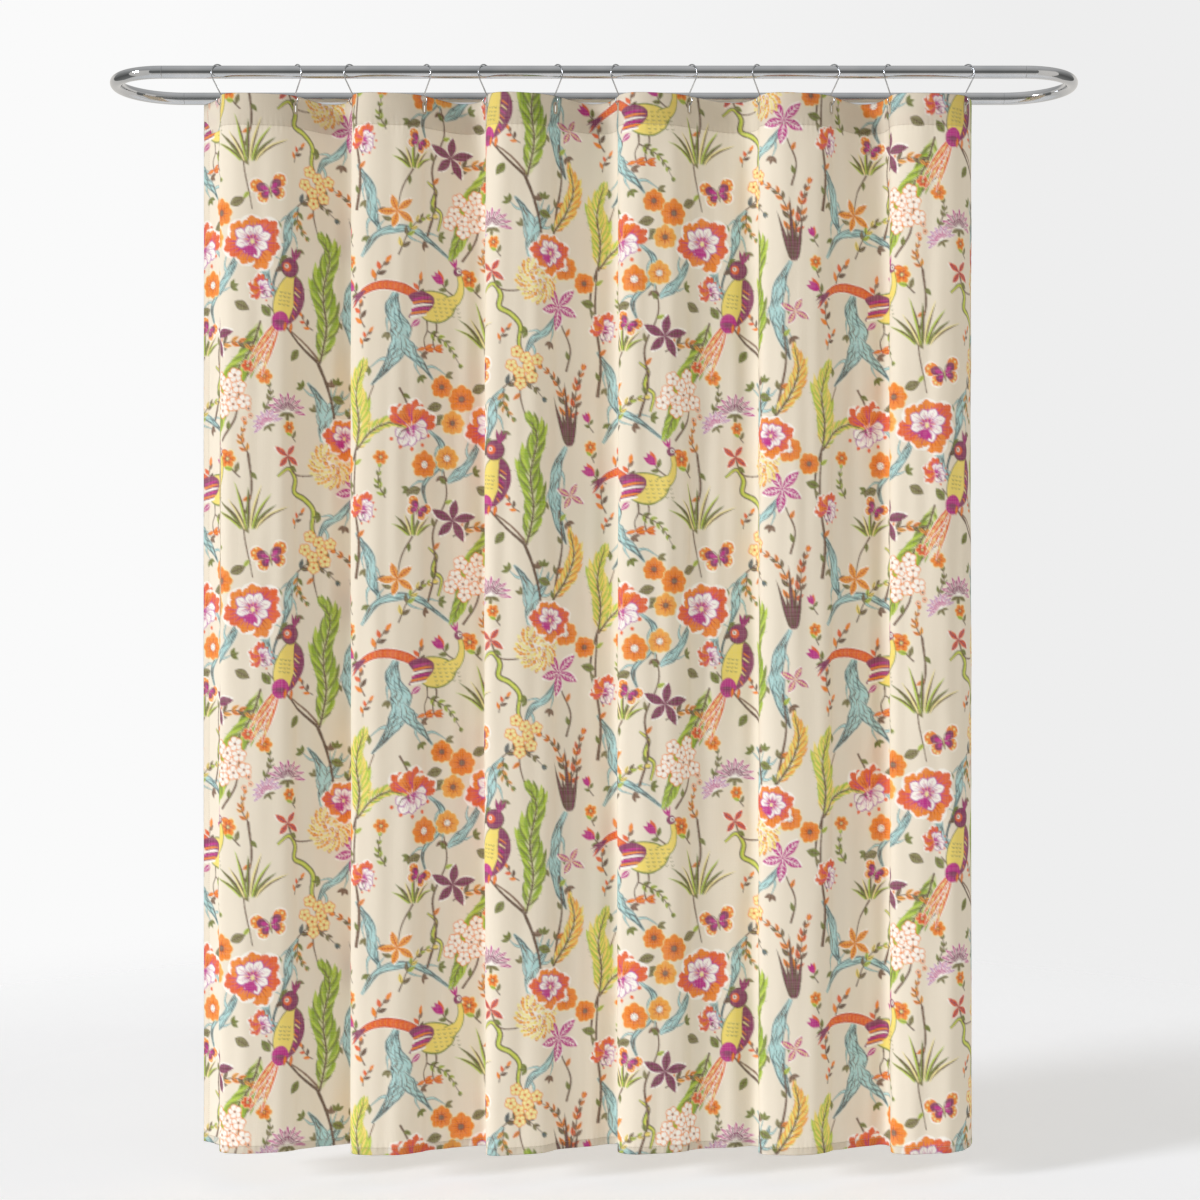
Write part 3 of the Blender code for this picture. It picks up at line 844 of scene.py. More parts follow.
def print_trunk(pen, spine, widths, seed):
    """A pale aqua trunk with dark broken bark lines, thin at both ends, with side twigs."""
    rng = np.random.default_rng(seed)
    line = smooth_line(spine, 10)
    widths = [widths[0] * 0.35, *widths, min(1.5, widths[-1])]
    along = np.gradient(line, axis=0)
    across = np.stack((-along[:, 1], along[:, 0]), 1)
    across /= np.hypot(across[:, 0], across[:, 1])[:, None]
    wide = np.interp(np.linspace(0, 1, len(line)), np.linspace(0, 1, len(widths)), widths)
    wide *= 1 + 0.12 * np.sin(np.arange(len(line)) * 0.55 + seed)
    for twig in range(3):
        k = int((0.25 + 0.22 * twig) * len(line))
        side = 1 if (twig + seed) % 2 else -1
        out, ahead = across[k] * side, along[k] / np.hypot(*along[k])
        foot = line[k] + out * wide[k] * 0.2
        reach = 26 + 8 * math.sin(seed + twig * 2)
        twig_line = (foot, foot + out * reach * 0.4 + ahead * reach * 0.3,
                     foot + out * reach * 0.62 + ahead * reach)
        pen.line(twig_line, (wide[k] * 0.45 + 2, 4.2, 1.4), "slate")
        pen.line(twig_line, (wide[k] * 0.45, 2.4, 0.6), "aqua")
        heading = math.atan2(ahead[1] + out[1] * 0.4, ahead[0] + out[0] * 0.4)
        for lean in (-0.8, 0.0, 0.8):
            pen.leaf(
                *twig_line[2], heading + lean, 15, 7, ("olive", "umber", "moss")[(twig + seed) % 3],
                rib="bark", ragged=0.1,
            )
    pen.fill(ribbon(line, wide + 4), "mist", 0.7)
    pen.fill(ribbon(line, wide), "aqua")
    marks = max(3, int(max(widths) / 3.4))
    for mark in range(marks):
        off = -0.5 + (mark + 0.5) / marks
        k = int(rng.integers(0, 6))
        while k < len(line) - 5:
            step = int(rng.integers(5, 13))
            piece = line[k : k + step]
            wave = 0.1 * np.sin(np.arange(len(piece)) * 0.9 + mark * 2)
            piece = piece + across[k : k + step] * ((off + wave) * wide[k : k + step])[:, None]
            if len(piece) > 3:
                pen.fill(ribbon(piece, (0.5, 1.8, 0.5)), ("bark", "slate", "slate")[(mark + k) % 3])
            k += step + int(rng.integers(0, 4))
    for side in (-0.5, 0.5):
        edge = line + across * (side * wide)[:, None]
        pen.fill(ribbon(edge, (0.8, 2.0, 1.0, 2.2, 0.8)), "slate")


def print_stalk(pen, spine, width, leaves=0):
    """A long brown stem, lit along one side, with small leaves."""
    pen.line(spine, (width, width * 0.75, width * 0.4), "bark")
    pen.line(np.asarray(spine) + (-width * 0.2, 0), (width * 0.3, width * 0.2, 0.4), "umber")
    line = smooth_line(spine)
    along = np.gradient(line, axis=0)
    for i in range(leaves):
        k = int((0.2 + 0.7 * i / max(1, leaves - 1)) * (len(line) - 1))
        turn = heading_at(along, k) + (0.7 if i % 2 else -0.7)
        ink = ("moss", "orange", "olive", "lime")[i % 4]
        pen.leaf(*line[k], turn, 17, 7.5, ink, rib="bark", bend=0.15, ragged=0.12)


def print_sprigs(pen, tries, clear, seed):
    """Small sprigs, buds and leaves at chance places where the cloth is still bare."""
    rng = np.random.default_rng(seed)
    for i in range(tries):
        x, y = rng.uniform(0, REPEAT_WIDTH), rng.uniform(0, REPEAT_HEIGHT)
        turn = rng.uniform(-2.6, -0.5)
        if not pen.cloth.bare(x, y, clear):
            continue
        here = pen.at(x, y, turn, clear / 16)
        kind = i % 4
        here.line(((-15, 2), (-3, -1), (12, 2)), (1.8, 1.2), "bark")
        if kind == 0:
            for lean in (-0.9, 0.0, 0.9):
                ink = ("moss", "orange")[lean == 0]
                here.leaf(4, 0, lean, 14, 6.5, ink, rib="bark", ragged=0.12)
            here.leaf(-6, 0, -0.8, 12, 5, "lime", ragged=0.1)
        elif kind == 1:
            print_daisy(here.at(10, 0), 10, "orange", "straw", 6)
            here.leaf(-8, 0, 0.8, 13, 6, "olive", rib="bark")
            here.leaf(-4, 0, -0.8, 12, 5.5, "lime", rib="moss")
        elif kind == 2:
            for k in range(4):
                ink = ("orange", "bark", "coral", "umber")[k]
                here.leaf(-10 + 6 * k, 0, 0.75 if k % 2 else -0.75, 12 - k, 5, ink, ragged=0.12)
            here.leaf(12, 2, 0.2, 11, 5, "orange")
        else:
            for lean, ink in ((-0.35, "magenta"), (0.3, "coral"), (0.0, "magenta")):
                here.leaf(2, 0, lean, 17, 6.5, ink, ragged=0.16)
            here.leaf(-2, 0, 0.9, 11, 5, "moss", rib="bark")
            here.leaf(-6, 0, -0.9, 11, 5, "moss", rib="bark")


def print_creeper(pen, spine, width):
    """A winding green branch with a dark outline."""
    pen.line(spine, (width * 0.6, width + 3, width + 2, width * 0.8), "bark")
    pen.line(spine, (width * 0.35, width * 0.8, width * 0.75, width * 0.4), "lime")
    pen.line(np.asarray(spine) + (1.2, 0.8), (1, 1.6, 1), "yellow", 0.8)


def print_grass(pen, tall, blades=9):
    """A tuft of grass, its foot at the origin."""
    for i, share in enumerate(np.linspace(-1, 1, blades)):
        long = tall * (1 - 0.35 * abs(share) + 0.12 * math.sin(i * 2.6))
        turn = -math.pi / 2 + share * 0.5
        ink = ("lime", "moss", "straw")[i % 3]
        foot = share * tall * 0.15
        pen.leaf(foot, 0, turn, long, 6.5, ink, bend=share * 0.5, fullest=0.4, ragged=0.05)
        pen.leaf(foot + 1.6, 0, turn, long * 0.95, 3.0, "bark", bend=share * 0.5, fullest=0.5)


def print_spikes(pen, tall):
    """Five dark spikes that stand side by side."""
    for i, share in enumerate((-1, -0.5, 0, 0.45, 1)):
        long = tall * (1.0, 0.75, 1.25, 0.8, 0.9)[i]
        pen.leaf(share * 4, 0, -math.pi / 2 + share * 0.22, long, 9, "bark", fullest=0.25)
        pen.leaf(share * 4, 0, -math.pi / 2 + share * 0.22, long * 0.8, 2.2, "plum", fullest=0.25)


def print_star_leaves(pen, radius, ink, rib, count=5, start=0.2):
    """Pointed leaves round one point, on a pale halo."""
    for i, turn in enumerate(turns(count, start)):
        long = radius * (1 - 0.12 * (i % 2))
        pen.leaf(0, 0, turn, long + 1.2, radius * 0.43, "ivory", fullest=0.5)
        pen.leaf(
            0, 0, turn, long, radius * 0.38, ink, rib=rib, fullest=0.5, bend=0.1, ragged=0.1
        )


def print_butterfly(pen):
    """A butterfly with its wings spread and its head up."""
    for side in (-1, 1):
        wing = pen.at(0, 0, flip=side < 0)
        for turn, long, wide in ((-0.55, 36, 24), (0.55, 27, 21)):
            wing.leaf(0, 0, turn, long + 3, wide + 4, "ivory", fullest=0.68, blunt=0.7)
            wing.leaf(0, 0, turn, long, wide, "orange", fullest=0.68, blunt=0.7)
            wing.leaf(0, 0, turn, long * 0.7, wide * 0.68, "plum", fullest=0.66, blunt=0.8)
            wing.leaf(0, 0, turn, long * 0.5, wide * 0.3, "magenta", fullest=0.6)
            for part in (-0.3, 0.0, 0.3):
                c, s = math.cos(turn + part), math.sin(turn + part)
                wing.disc(long * 0.82 * c, long * 0.82 * s, 2.1, "straw")
        wing.line(((1, -4), (5, -12), (11, -15)), (1.2, 1.0), "bark")
    pen.leaf(0, -7, math.pi / 2, 22, 5, "bark", rib="straw")


def print_walking_bird(pen):
    """A long-tailed ground bird that faces right with its head up."""
    tail = ((-16, -12), (-44, -25), (-76, -29), (-104, -18), (-124, 6))
    pen.line(tail, (17, 19, 17, 13, 4), "ivory", 0.8)
    pen.line(tail, (14, 16, 14, 10, 2), "rust")
    pen.line(tail, (12, 13, 11, 7, 1), "coral")
    line = smooth_line(tail, 8)
    for k in range(2, len(line) - 5, 2):
        heading = math.atan2(*(line[k + 1] - line[k])[::-1])
        pen.at(*line[k], heading).line(((0, -4), (3.5, 0), (0, 4)), (1.1, 1.6, 1.1), "orange")
    for bend in (-0.1, 0.1, 0.3):
        pen.leaf(-100, -20, 2.55 + bend, 32, 4.5, "plum", bend=-0.2)
    for foot in (-2, 14):
        shank = ((foot, 20), (foot + 1, 38), (foot - 5, 52), (foot - 3, 66))
        pen.line(shank, (3.6, 2.2, 2.0, 2.4), "bark")
        for turn in (0.35, 0.0, 2.9, -0.45):
            pen.leaf(foot - 3, 66, turn, 15, 4, "orange", edge="rust")
    pen.shape(
        ((-24, -16), (2, -24), (30, -20), (46, -6), (42, 12), (20, 26), (-6, 22), (-22, 6)), "moss"
    )
    pen.shape(
        ((-22, -14), (2, -22), (29, -18), (43, -5), (40, 11), (20, 23), (-5, 20), (-20, 6)), "yellow"
    )
    neck = ((34, -4), (50, -16), (55, -34), (52, -52))
    pen.line(neck, (25, 15, 10, 8), "moss")
    pen.line(neck, (22, 12, 7.5, 6), "yellow")
    for i in range(26):
        x, y = 8 + 9.5 * (i % 5) + (i // 5) * 1.7, -12 + 6.4 * (i // 5)
        pen.line(((x - 2.6, y), (x, y + 1.8), (x + 2.6, y)), (0.8, 1.2, 0.8), "olive")
    pen.shape(((-34, -14), (-10, -22), (10, -14), (8, 2), (-8, 14), (-34, 20), (-24, 2)), "plum")
    for i in range(6):
        y = -12 + 5.4 * i
        reach = 10 - 3.4 * abs(i - 1.5)
        stripe = ((-26 - i, y + 4), (-8, y), (reach, y - 1))
        pen.line(stripe, (3.4, 3.6, 1.2), ("magenta", "orange", "ivory")[i % 3])
    pen.leaf(-14, 22, 2.5, 20, 9, "magenta", rib="ivory")
    pen.disc(50, -56, 7.2, "plum")
    pen.disc(52, -57, 3.4, "ivory")
    pen.disc(52.4, -57, 1.7, "bark")
    pen.leaf(56, -57, 0.15, 15, 6, "orange", edge="rust")
    for turn in (-2.3, -1.9, -1.5):
        pen.leaf(47, -61, turn, 17, 3.2, "magenta")


def print_perching_bird(pen):
    """A bird that sits upright on a twig with its tail hanging."""
    for bend, long in ((-0.1, 88), (0.08, 96), (0.22, 80)):
        pen.leaf(-12, 34, 1.85 + bend, long + 3, 13, "ivory", fullest=0.4)
        pen.leaf(-12, 34, 1.85 + bend, long, 10, "coral", rib="straw", fullest=0.4)
    for i in range(9):
        pen.line(((-17 - 2.3 * i, 48 + 8 * i), (-12 - 2.3 * i, 50 + 8 * i)), (1.4, 1.4), "ivory")
    body = ((2, -36), (18, -26), (24, -2), (15, 24), (-4, 40), (-20, 26), (-22, 0), (-12, -26))
    pen.shape(np.array(body) * 1.06, "olive")
    pen.shape(body, "yellow")
    pen.shape(((6, -34), (20, -24), (26, -2), (18, 24), (2, 38), (8, 10), (6, -10)), "plum")
    for i in range(7):
        ends = ((8, -18 + 7 * i), (19 - i, -12 + 7 * i))
        pen.line(ends, (2.6, 1.2), ("orange", "straw", "magenta")[i % 3])
    for i in range(12):
        x, y = -14 + 6.5 * (i % 3), -8 + 6 * (i // 3)
        pen.line(((x - 2.4, y), (x, y + 1.8), (x + 2.4, y)), (0.8, 1.2, 0.8), "olive")
    pen.disc(-10, 36, 13, "magenta", tall=1.15)
    for turn in turns(6, 0.4, 2.3):
        pen.leaf(-10, 34, turn, 15, 2.6, "plum")
    pen.disc(-4, -46, 15.5, "bark")
    pen.disc(-4, -46, 14, "plum")
    pen.disc(-9, -46, 7, "coral")
    pen.disc(-10, -47, 3.2, "ivory")
    pen.disc(-10.4, -47, 1.6, "bark")
    pen.leaf(-15, -44, 2.7, 14, 8, "bark", bend=-0.2)
    for turn in (-1.9, -1.5, -1.1):
        pen.leaf(2, -56, turn, 22, 5.5, "plum", rib="magenta")
    for foot in (-2, 8):
        pen.leaf(foot, 36, 1.6, 14, 3.5, "orange", edge="rust")


def print_repeat(cloth):
    """Lays the motifs of one repeat out, back to front."""
    pen = Pen(cloth)
    # trunks, stems and creepers behind everything
    for details in (
        (((92, 58), (84, 95), (98, 128), (92, 165), (70, 200), (48, 226)),
         (20, 26, 34, 28, 18, 6), 3),
        (((100, 140), (118, 170), (142, 192), (160, 214)), (22, 16, 11, 5), 4),
        (((186, 392), (218, 366), (240, 330), (250, 300)), (17, 13, 10, 5), 5),
        (((398, 640), (402, 600), (388, 560), (370, 536)), (24, 22, 14, 6), 6),
        (((402, 600), (424, 572), (434, 548)), (14, 10, 5), 7),
        (((470, 330), (452, 368), (446, 410), (452, 452), (470, 500)), (13, 20, 24, 22, 12), 8),
        (((20, 480), (44, 520), (50, 566), (66, 600)), (10, 16, 18, 8), 9),
        (((352, 232), (334, 262), (330, 296), (318, 330)), (13, 17, 13, 6), 11),
    ):
        print_trunk(pen, *details)
    for details in (
        (((388, 500), (352, 468), (318, 430), (296, 404)), (5.5, 4.2, 3.2, 2.0), "bark"),
        (((392, 498), (366, 470), (336, 448), (312, 436)), (4.5, 3.6, 2.6, 1.6), "umber"),
        (((388, 500), (404, 540), (416, 590), (420, 650), (424, 700)), (6, 5, 4.5, 3.5, 3), "bark"),
        (((20, 336), (36, 300), (40, 262), (52, 226)), (4.5, 4, 3, 2), "umber"),
        (((20, 336), (8, 380), (10, 420), (30, 462)), (4.5, 4, 3.5, 2.5), "bark"),
        (((318, 330), (306, 366), (310, 400)), (5, 4, 3), "slate"),
    ):
        pen.line(*details)
    print_creeper(
        pen,
        ((312, 66), (332, 52), (346, 70), (344, 92), (364, 104), (380, 124), (378, 156), (392, 188)),
        8,
    )
    print_creeper(pen, ((150, 505), (166, 520), (160, 545), (176, 560), (170, 590)), 6)
    for details in (
        (((30, 640), (60, 600), (110, 590), (150, 606), (196, 640)), (9, 12, 10, 6), 12),
        (((250, 300), (286, 330), (300, 372), (330, 420)), (10, 12, 9, 5), 14),
        (((150, 300), (176, 326), (170, 362), (140, 400), (150, 440)), (8, 11, 9, 5), 15),
        (((456, 96), (430, 130), (400, 150), (384, 190)), (9, 12, 10, 5), 16),
    ):
        print_trunk(pen, *details)
    # long stems
    for spine, width, leaves in (
        (((20, 560), (26, 500), (16, 420), (20, 336)), 6.5, 4),
        (((150, 600), (166, 540), (160, 480), (184, 420), (180, 372)), 5.0, 5),
        (((262, 26), (268, 90), (254, 150), (270, 240)), 4.5, 4),
        (((436, 632), (452, 560), (462, 500), (456, 440)), 5.5, 4),
        (((96, 230), (112, 262), (118, 300)), 4.0, 2),
        (((214, 640), (240, 600), (252, 540), (288, 500)), 4.5, 3),
        (((470, 200), (478, 160), (462, 120), (456, 88)), 4.0, 3),
        (((330, 30), (344, 60), (380, 62), (412, 44)), 3.5, 2),
        (((388, 196), (380, 240), (392, 290)), 4.0, 3),
        (((120, 486), (100, 520), (92, 560)), 3.5, 2),
    ):
        print_stalk(pen, spine, width, leaves)
    # feathery leaves
    for details in (
        (((392, 502), (404, 440), (398, 380), (410, 320), (400, 290)),
         40, ("lime", "leaf", "moss", "lime"), 30),
        (((284, 432), (268, 480), (240, 526), (214, 590), (200, 622)),
         38, ("lime", "leaf", "lime", "moss"), 28),
        (((22, 332), (26, 290), (20, 240), (34, 190)), 36, ("straw", "yellow", "lime"), 24),
        (((22, 338), (48, 306), (76, 292), (100, 296)), 20, ("straw", "lime", "yellow"), 14),
        (((446, 596), (470, 560), (484, 520), (478, 484)), 28, ("straw", "yellow", "amber"), 20),
    ):
        print_plume(pen, *details)
    # sprays of small leaves
    for details in (
        (((470, 290), (466, 250), (448, 214), (420, 196)), 7, 22, ("orange", "bark", "orange")),
        (((470, 290), (486, 256), (490, 222), (500, 196)), 7, 22, ("orange", "coral", "umber")),
        (((196, 486), (228, 470), (262, 474), (286, 496)), 8, 21, ("orange", "bark", "amber")),
        (((150, 130), (186, 150), (208, 184)), 6, 17, ("moss", "lime")),
        (((94, 636), (112, 596), (134, 572), (160, 566)), 7, 20, ("yellow", "bark", "lime")),
        (((350, 232), (372, 216), (396, 224), (420, 246)), 6, 21, ("slate", "bark", "olive")),
        (((352, 236), (352, 262), (366, 282)), 5, 18, ("moss", "amber")),
        (((72, 420), (60, 396), (62, 368)), 5, 16, ("lime", "moss")),
        (((290, 590), (300, 560), (296, 534)), 5, 15, ("moss", "olive")),
        (((262, 26), (250, 2), (256, -22)), 5, 16, ("orange", "amber")),
    ):
        print_spray(pen, *details)
    for x, y, turn in (
        (176, 258, 2.9), (182, 276, 2.5), (232, 232, -0.4), (134, 404, 2.8), (240, 400, 0.5)
    ):
        pen.leaf(x, y, turn, 27, 15, "olive", rib="bark", edge="bark")
    for x, y, turn in (
        (418, 640, 0.5), (300, 424, -2.2), (414, 560, 0.4), (14, 400, 3.4), (352, 480, 2.2)
    ):
        pen.leaf(x, y, turn, 24, 13, "moss", rib="bark", edge="olive")
    print_grass(pen.at(262, 158), 84)
    print_spikes(pen.at(476, 330, -0.08), 92)
    print_grass(pen.at(120, 486), 52, 7)
    # flowers
    print_star_leaves(pen.at(456, 88), 42, "magenta", "ivory", 5, -0.9)
    print_seed_head(pen.at(412, 44), 37)
    for place, *details in (
        ((330, 30), 27, "coral", "plum", 4, -2.6),
        ((196, 458), 42, "plum", "bark", 5, 1.0),
        ((478, 416), 28, "magenta", "straw", 4, 0.4),
        ((92, 560), 34, "amber", "rust", 5, 0.5),
    ):
        print_star_leaves(pen.at(*place), *details)
    print_mum(pen.at(330, 590), 36)
    print_mum(pen.at(296, 612, -0.5), 27, ("violet", "magenta"))
    for place, *details in (
        ((388, 196), 32, 8, "straw", "rust"),
        ((224, 560), 38, 11),
        ((262, 596), 14, 3),
    ):
        print_florets(pen.at(*place), *details)
    for place, *details in (
        ((212, 246), 24, "orange", "umber"),
        ((176, 226), 20, "orange", "umber"),
        ((196, 288), 21, "amber", "umber"),
        ((142, 362), 24, "orange", "ivory"),
        ((186, 350), 21, "amber", "ivory"),
        ((468, 20), 22, "orange", "ivory", 9),
        ((504, 44), 19, "orange", "umber", 9),
        ((64, 350), 13, "orange", "straw", 6),
        ((290, 528), 14, "orange", "amber", 6),
        ((262, 510), 11, "coral", "straw", 6),
    ):
        print_daisy(pen.at(*place), *details)
    print_peony(pen.at(270, 296), 50)
    print_peony(pen.at(436, 632, 0.4), 38)
    for place, *details in (
        ((118, 300, 0.25), 50),
        ((36, 440, -0.7), 30),
        ((288, 376, -1.2), 26),
    ):
        print_tulip(pen.at(*place), *details)
    print_butterfly(pen.at(300, 206, -0.25))
    print_butterfly(pen.at(130, 440, 0.5, 0.75))
    print_sprigs(pen, 900, 25, 21)
    print_sprigs(pen, 700, 18, 22)
    # birds
    print_walking_bird(pen.at(150, 86, size=1.12))
    print_perching_bird(pen.at(334, 392, 0.12, 1.16))


def printed_cloth(settings):
    """Draws one repeat of the print in the inks of the settings."""
    inks = {name: np.array(getattr(settings, name)) for name in PrintSettings.__annotations__}
    cloth = Cloth(inks)
    print_repeat(cloth)
    return cloth


# Making pieces

BORE_SHOWN = 0.02  # depth to which a tube's bore is modelled


def start_over():
    """Nothing selected and object mode, so that operators act on the new piece alone."""
    if bpy.context.object and bpy.context.object.mode != "OBJECT":
        bpy.ops.object.mode_set(mode="OBJECT")
    bpy.ops.object.select_all(action="DESELECT")


def settle(piece, name, body, material, slot, *nodes):
    """Names a finished piece, puts its place in its mesh, and ties it to its body."""
    start_over()
    piece.select_set(True)
    bpy.context.view_layer.objects.active = piece
    bpy.ops.object.transform_apply(location=True, rotation=True, scale=True)
    piece.name = piece.data.name = name
    piece.data.materials.clear()
    piece.data.materials.append(material)
    if body:
        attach(piece, body)
    if nodes:
        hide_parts(*nodes)
    return piece


def tidy_mesh(angle=40):
    """Merges doubles, turns the faces outwards and smooths all but the sharp edges."""
    bpy.ops.mesh.select_all(action="SELECT")
    bpy.ops.mesh.remove_doubles(threshold=1e-6)
    bpy.ops.mesh.normals_make_consistent(inside=False)
    bpy.ops.object.mode_set(mode="OBJECT")
    bpy.ops.object.shade_smooth_by_angle(angle=math.radians(angle))


def grow(ring, step=(0, 0, 0), factor=1.0):
    """Extrudes the selected ring by a step, then sizes it about its own centre."""
    bpy.ops.mesh.extrude_region_move(TRANSFORM_OT_translate={"value": step})
    centre = ring + Vector(step)
    if factor != 1.0:
        bpy.ops.transform.resize(value=(factor, factor, factor), center_override=centre)
    return centre


def choose(piece, test):
    """Selects the vertices that pass a test on their place, in edit mode."""
    bpy.ops.object.mode_set(mode="EDIT")
    bpy.ops.mesh.select_mode(type="VERT")
    bpy.ops.mesh.select_all(action="DESELECT")
    mesh = bmesh.from_edit_mesh(piece.data)
    for vertex in mesh.verts:
        vertex.select_set(test(vertex.co))
    mesh.select_flush(True)
    bmesh.update_edit_mesh(piece.data)


def copy_of(piece, name):
    """A copy of a piece with its own mesh."""
    copy = bpy.data.objects.new(name, piece.data.copy())
    bpy.context.scene.collection.objects.link(copy)
    return copy


def hang(piece, name, panel, material, slot, *nodes):
    """Settles a piece of the curtain: a flap rides on its end hook, a piece between hooks stays on no
    body.
    """
    flap = panel in (0, HOOKS)
    settle(piece, name, f"hook_{max(panel, 1):02d}" if flap else None, material, slot, *nodes)
    if not flap:
        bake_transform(piece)


class SHOWERCURTAIN_OT_rail(bpy.types.Operator):
    """Make the rail's straight tubes and its end bends"""

    bl_idname = "shower_curtain.rail"
    bl_label = "Hoop rail"

    def execute(self, context):
        sizes = context.scene.curtain_rail
        bore = 1 - sizes.tube_wall / sizes.tube_radius
        lip = 1 - sizes.rim / sizes.tube_radius
        chrome = chrome_plate()
        for run, side in (("front", -1), ("back", 1)):
            middle = Vector((-sizes.run_half, side * sizes.hoop_radius, 0))
            self.open_end(middle, sizes, bore, lip)
            middle = grow(middle, (2 * (sizes.run_half - sizes.rim), 0, 0))
            self.close_end(middle, (sizes.rim, 0, 0), bore, lip)
            tidy_mesh()
            settle(context.object, f"rail_{run}_run", "rail", chrome, "chrome", f"{run}_tube")
        for hand, side in (("right", 1), ("left", -1)):
            middle = Vector((side * sizes.run_half, -side * sizes.hoop_radius, 0))
            self.open_end(middle, sizes, bore, lip, side)
            bpy.ops.mesh.spin(
                steps=64,
                # with no window, spin turns the other way
                angle=2 * sizes.rim / sizes.hoop_radius - math.pi,
                center=(side * sizes.run_half, 0, 0),
                axis=(0, 0, 1),
            )
            middle = Vector((side * (sizes.run_half + sizes.rim), side * sizes.hoop_radius, 0))
            self.close_end(middle, (-side * sizes.rim, 0, 0), bore, lip)
            tidy_mesh()
            settle(
                context.object, f"rail_end_{hand}", "rail", chrome, "chrome", f"end_bend_{hand}"
            )
        return {"FINISHED"}

    def open_end(self, middle, sizes, bore, lip, side=1):
        """A tube's first rings: inside its bore, over the rim and out to its full size."""
        start_over()
        inside = middle + Vector((side * BORE_SHOWN, 0, 0))
        bpy.ops.mesh.primitive_circle_add(
            vertices=56,
            radius=sizes.tube_radius * bore,
            location=inside,
            rotation=(0, math.pi / 2, 0),
        )
        bpy.ops.object.mode_set(mode="EDIT")
        ring = grow(inside, (-side * BORE_SHOWN, 0, 0))
        ring = grow(ring, (0, 0, 0), lip / bore)
        grow(ring, (side * sizes.rim, 0, 0), 1 / lip)

    def close_end(self, middle, step, bore, lip):
        """A tube's last rings: over the rim and into its bore."""
        ring = grow(middle, step, lip)
        ring = grow(ring, (0, 0, 0), bore / lip)
        grow(ring, Vector(step).normalized() * -BORE_SHOWN)


class SHOWERCURTAIN_OT_joints(bpy.types.Operator):
    """Give the sleeves their steel and make the grub screws at the rail's joints"""

    bl_idname = "shower_curtain.joints"
    bl_label = "Sleeves and grub screws"

    def execute(self, context):
        steel = machined_steel()
        sizes = context.scene.curtain_rail
        for hand, x in (("left", -1), ("right", 1)):
            for run in ("front", "back"):
                sleeve = frame["nodes"][f"sleeve_{hand}_{run}"]
                sleeve.data.materials.clear()
                sleeve.data.materials.append(steel)
                node = f"set_screw_{hand}_{run}"
                centre = box_centre(node)
                outward = centre - Vector((x * sizes.run_half, 0, centre.z))
                self.grub_screw(centre, outward.normalized())
                settle(context.object, f"grub_screw_{hand}_{run}", "rail", steel, "steel", node)
        return {"FINISHED"}

    def grub_screw(self, centre, outward):
        """A headless screw with a hexagon socket, pointing outwards."""
        start_over()
        turn = outward.to_track_quat("Z", "Y").to_euler()
        bpy.ops.mesh.primitive_circle_add(vertices=24, radius=0.0017)
        piece = bpy.context.object
        bpy.ops.object.mode_set(mode="EDIT")
        bpy.ops.mesh.select_all(action="DESELECT")
        bpy.ops.mesh.primitive_circle_add(vertices=6, radius=0.0011)
        bpy.ops.mesh.select_all(action="SELECT")
        bpy.ops.mesh.bridge_edge_loops()
        choose(piece, lambda p: p.xy.length > 0.0016)
        ring = grow(Vector(), (0, 0, -0.0004), 0.0022 / 0.0017)
        ring = grow(ring, (0, 0, -0.0041))
        grow(ring, (0, 0, -0.0005), 0.6)
        bpy.ops.mesh.edge_face_add()
        choose(piece, lambda p: p.xy.length < 0.0012 and p.z > -0.0001)
        grow(Vector(), (0, 0, -0.002))
        bpy.ops.mesh.edge_face_add()
        tidy_mesh(30)
        piece.rotation_euler = turn
        piece.location = centre + outward * 0.0025


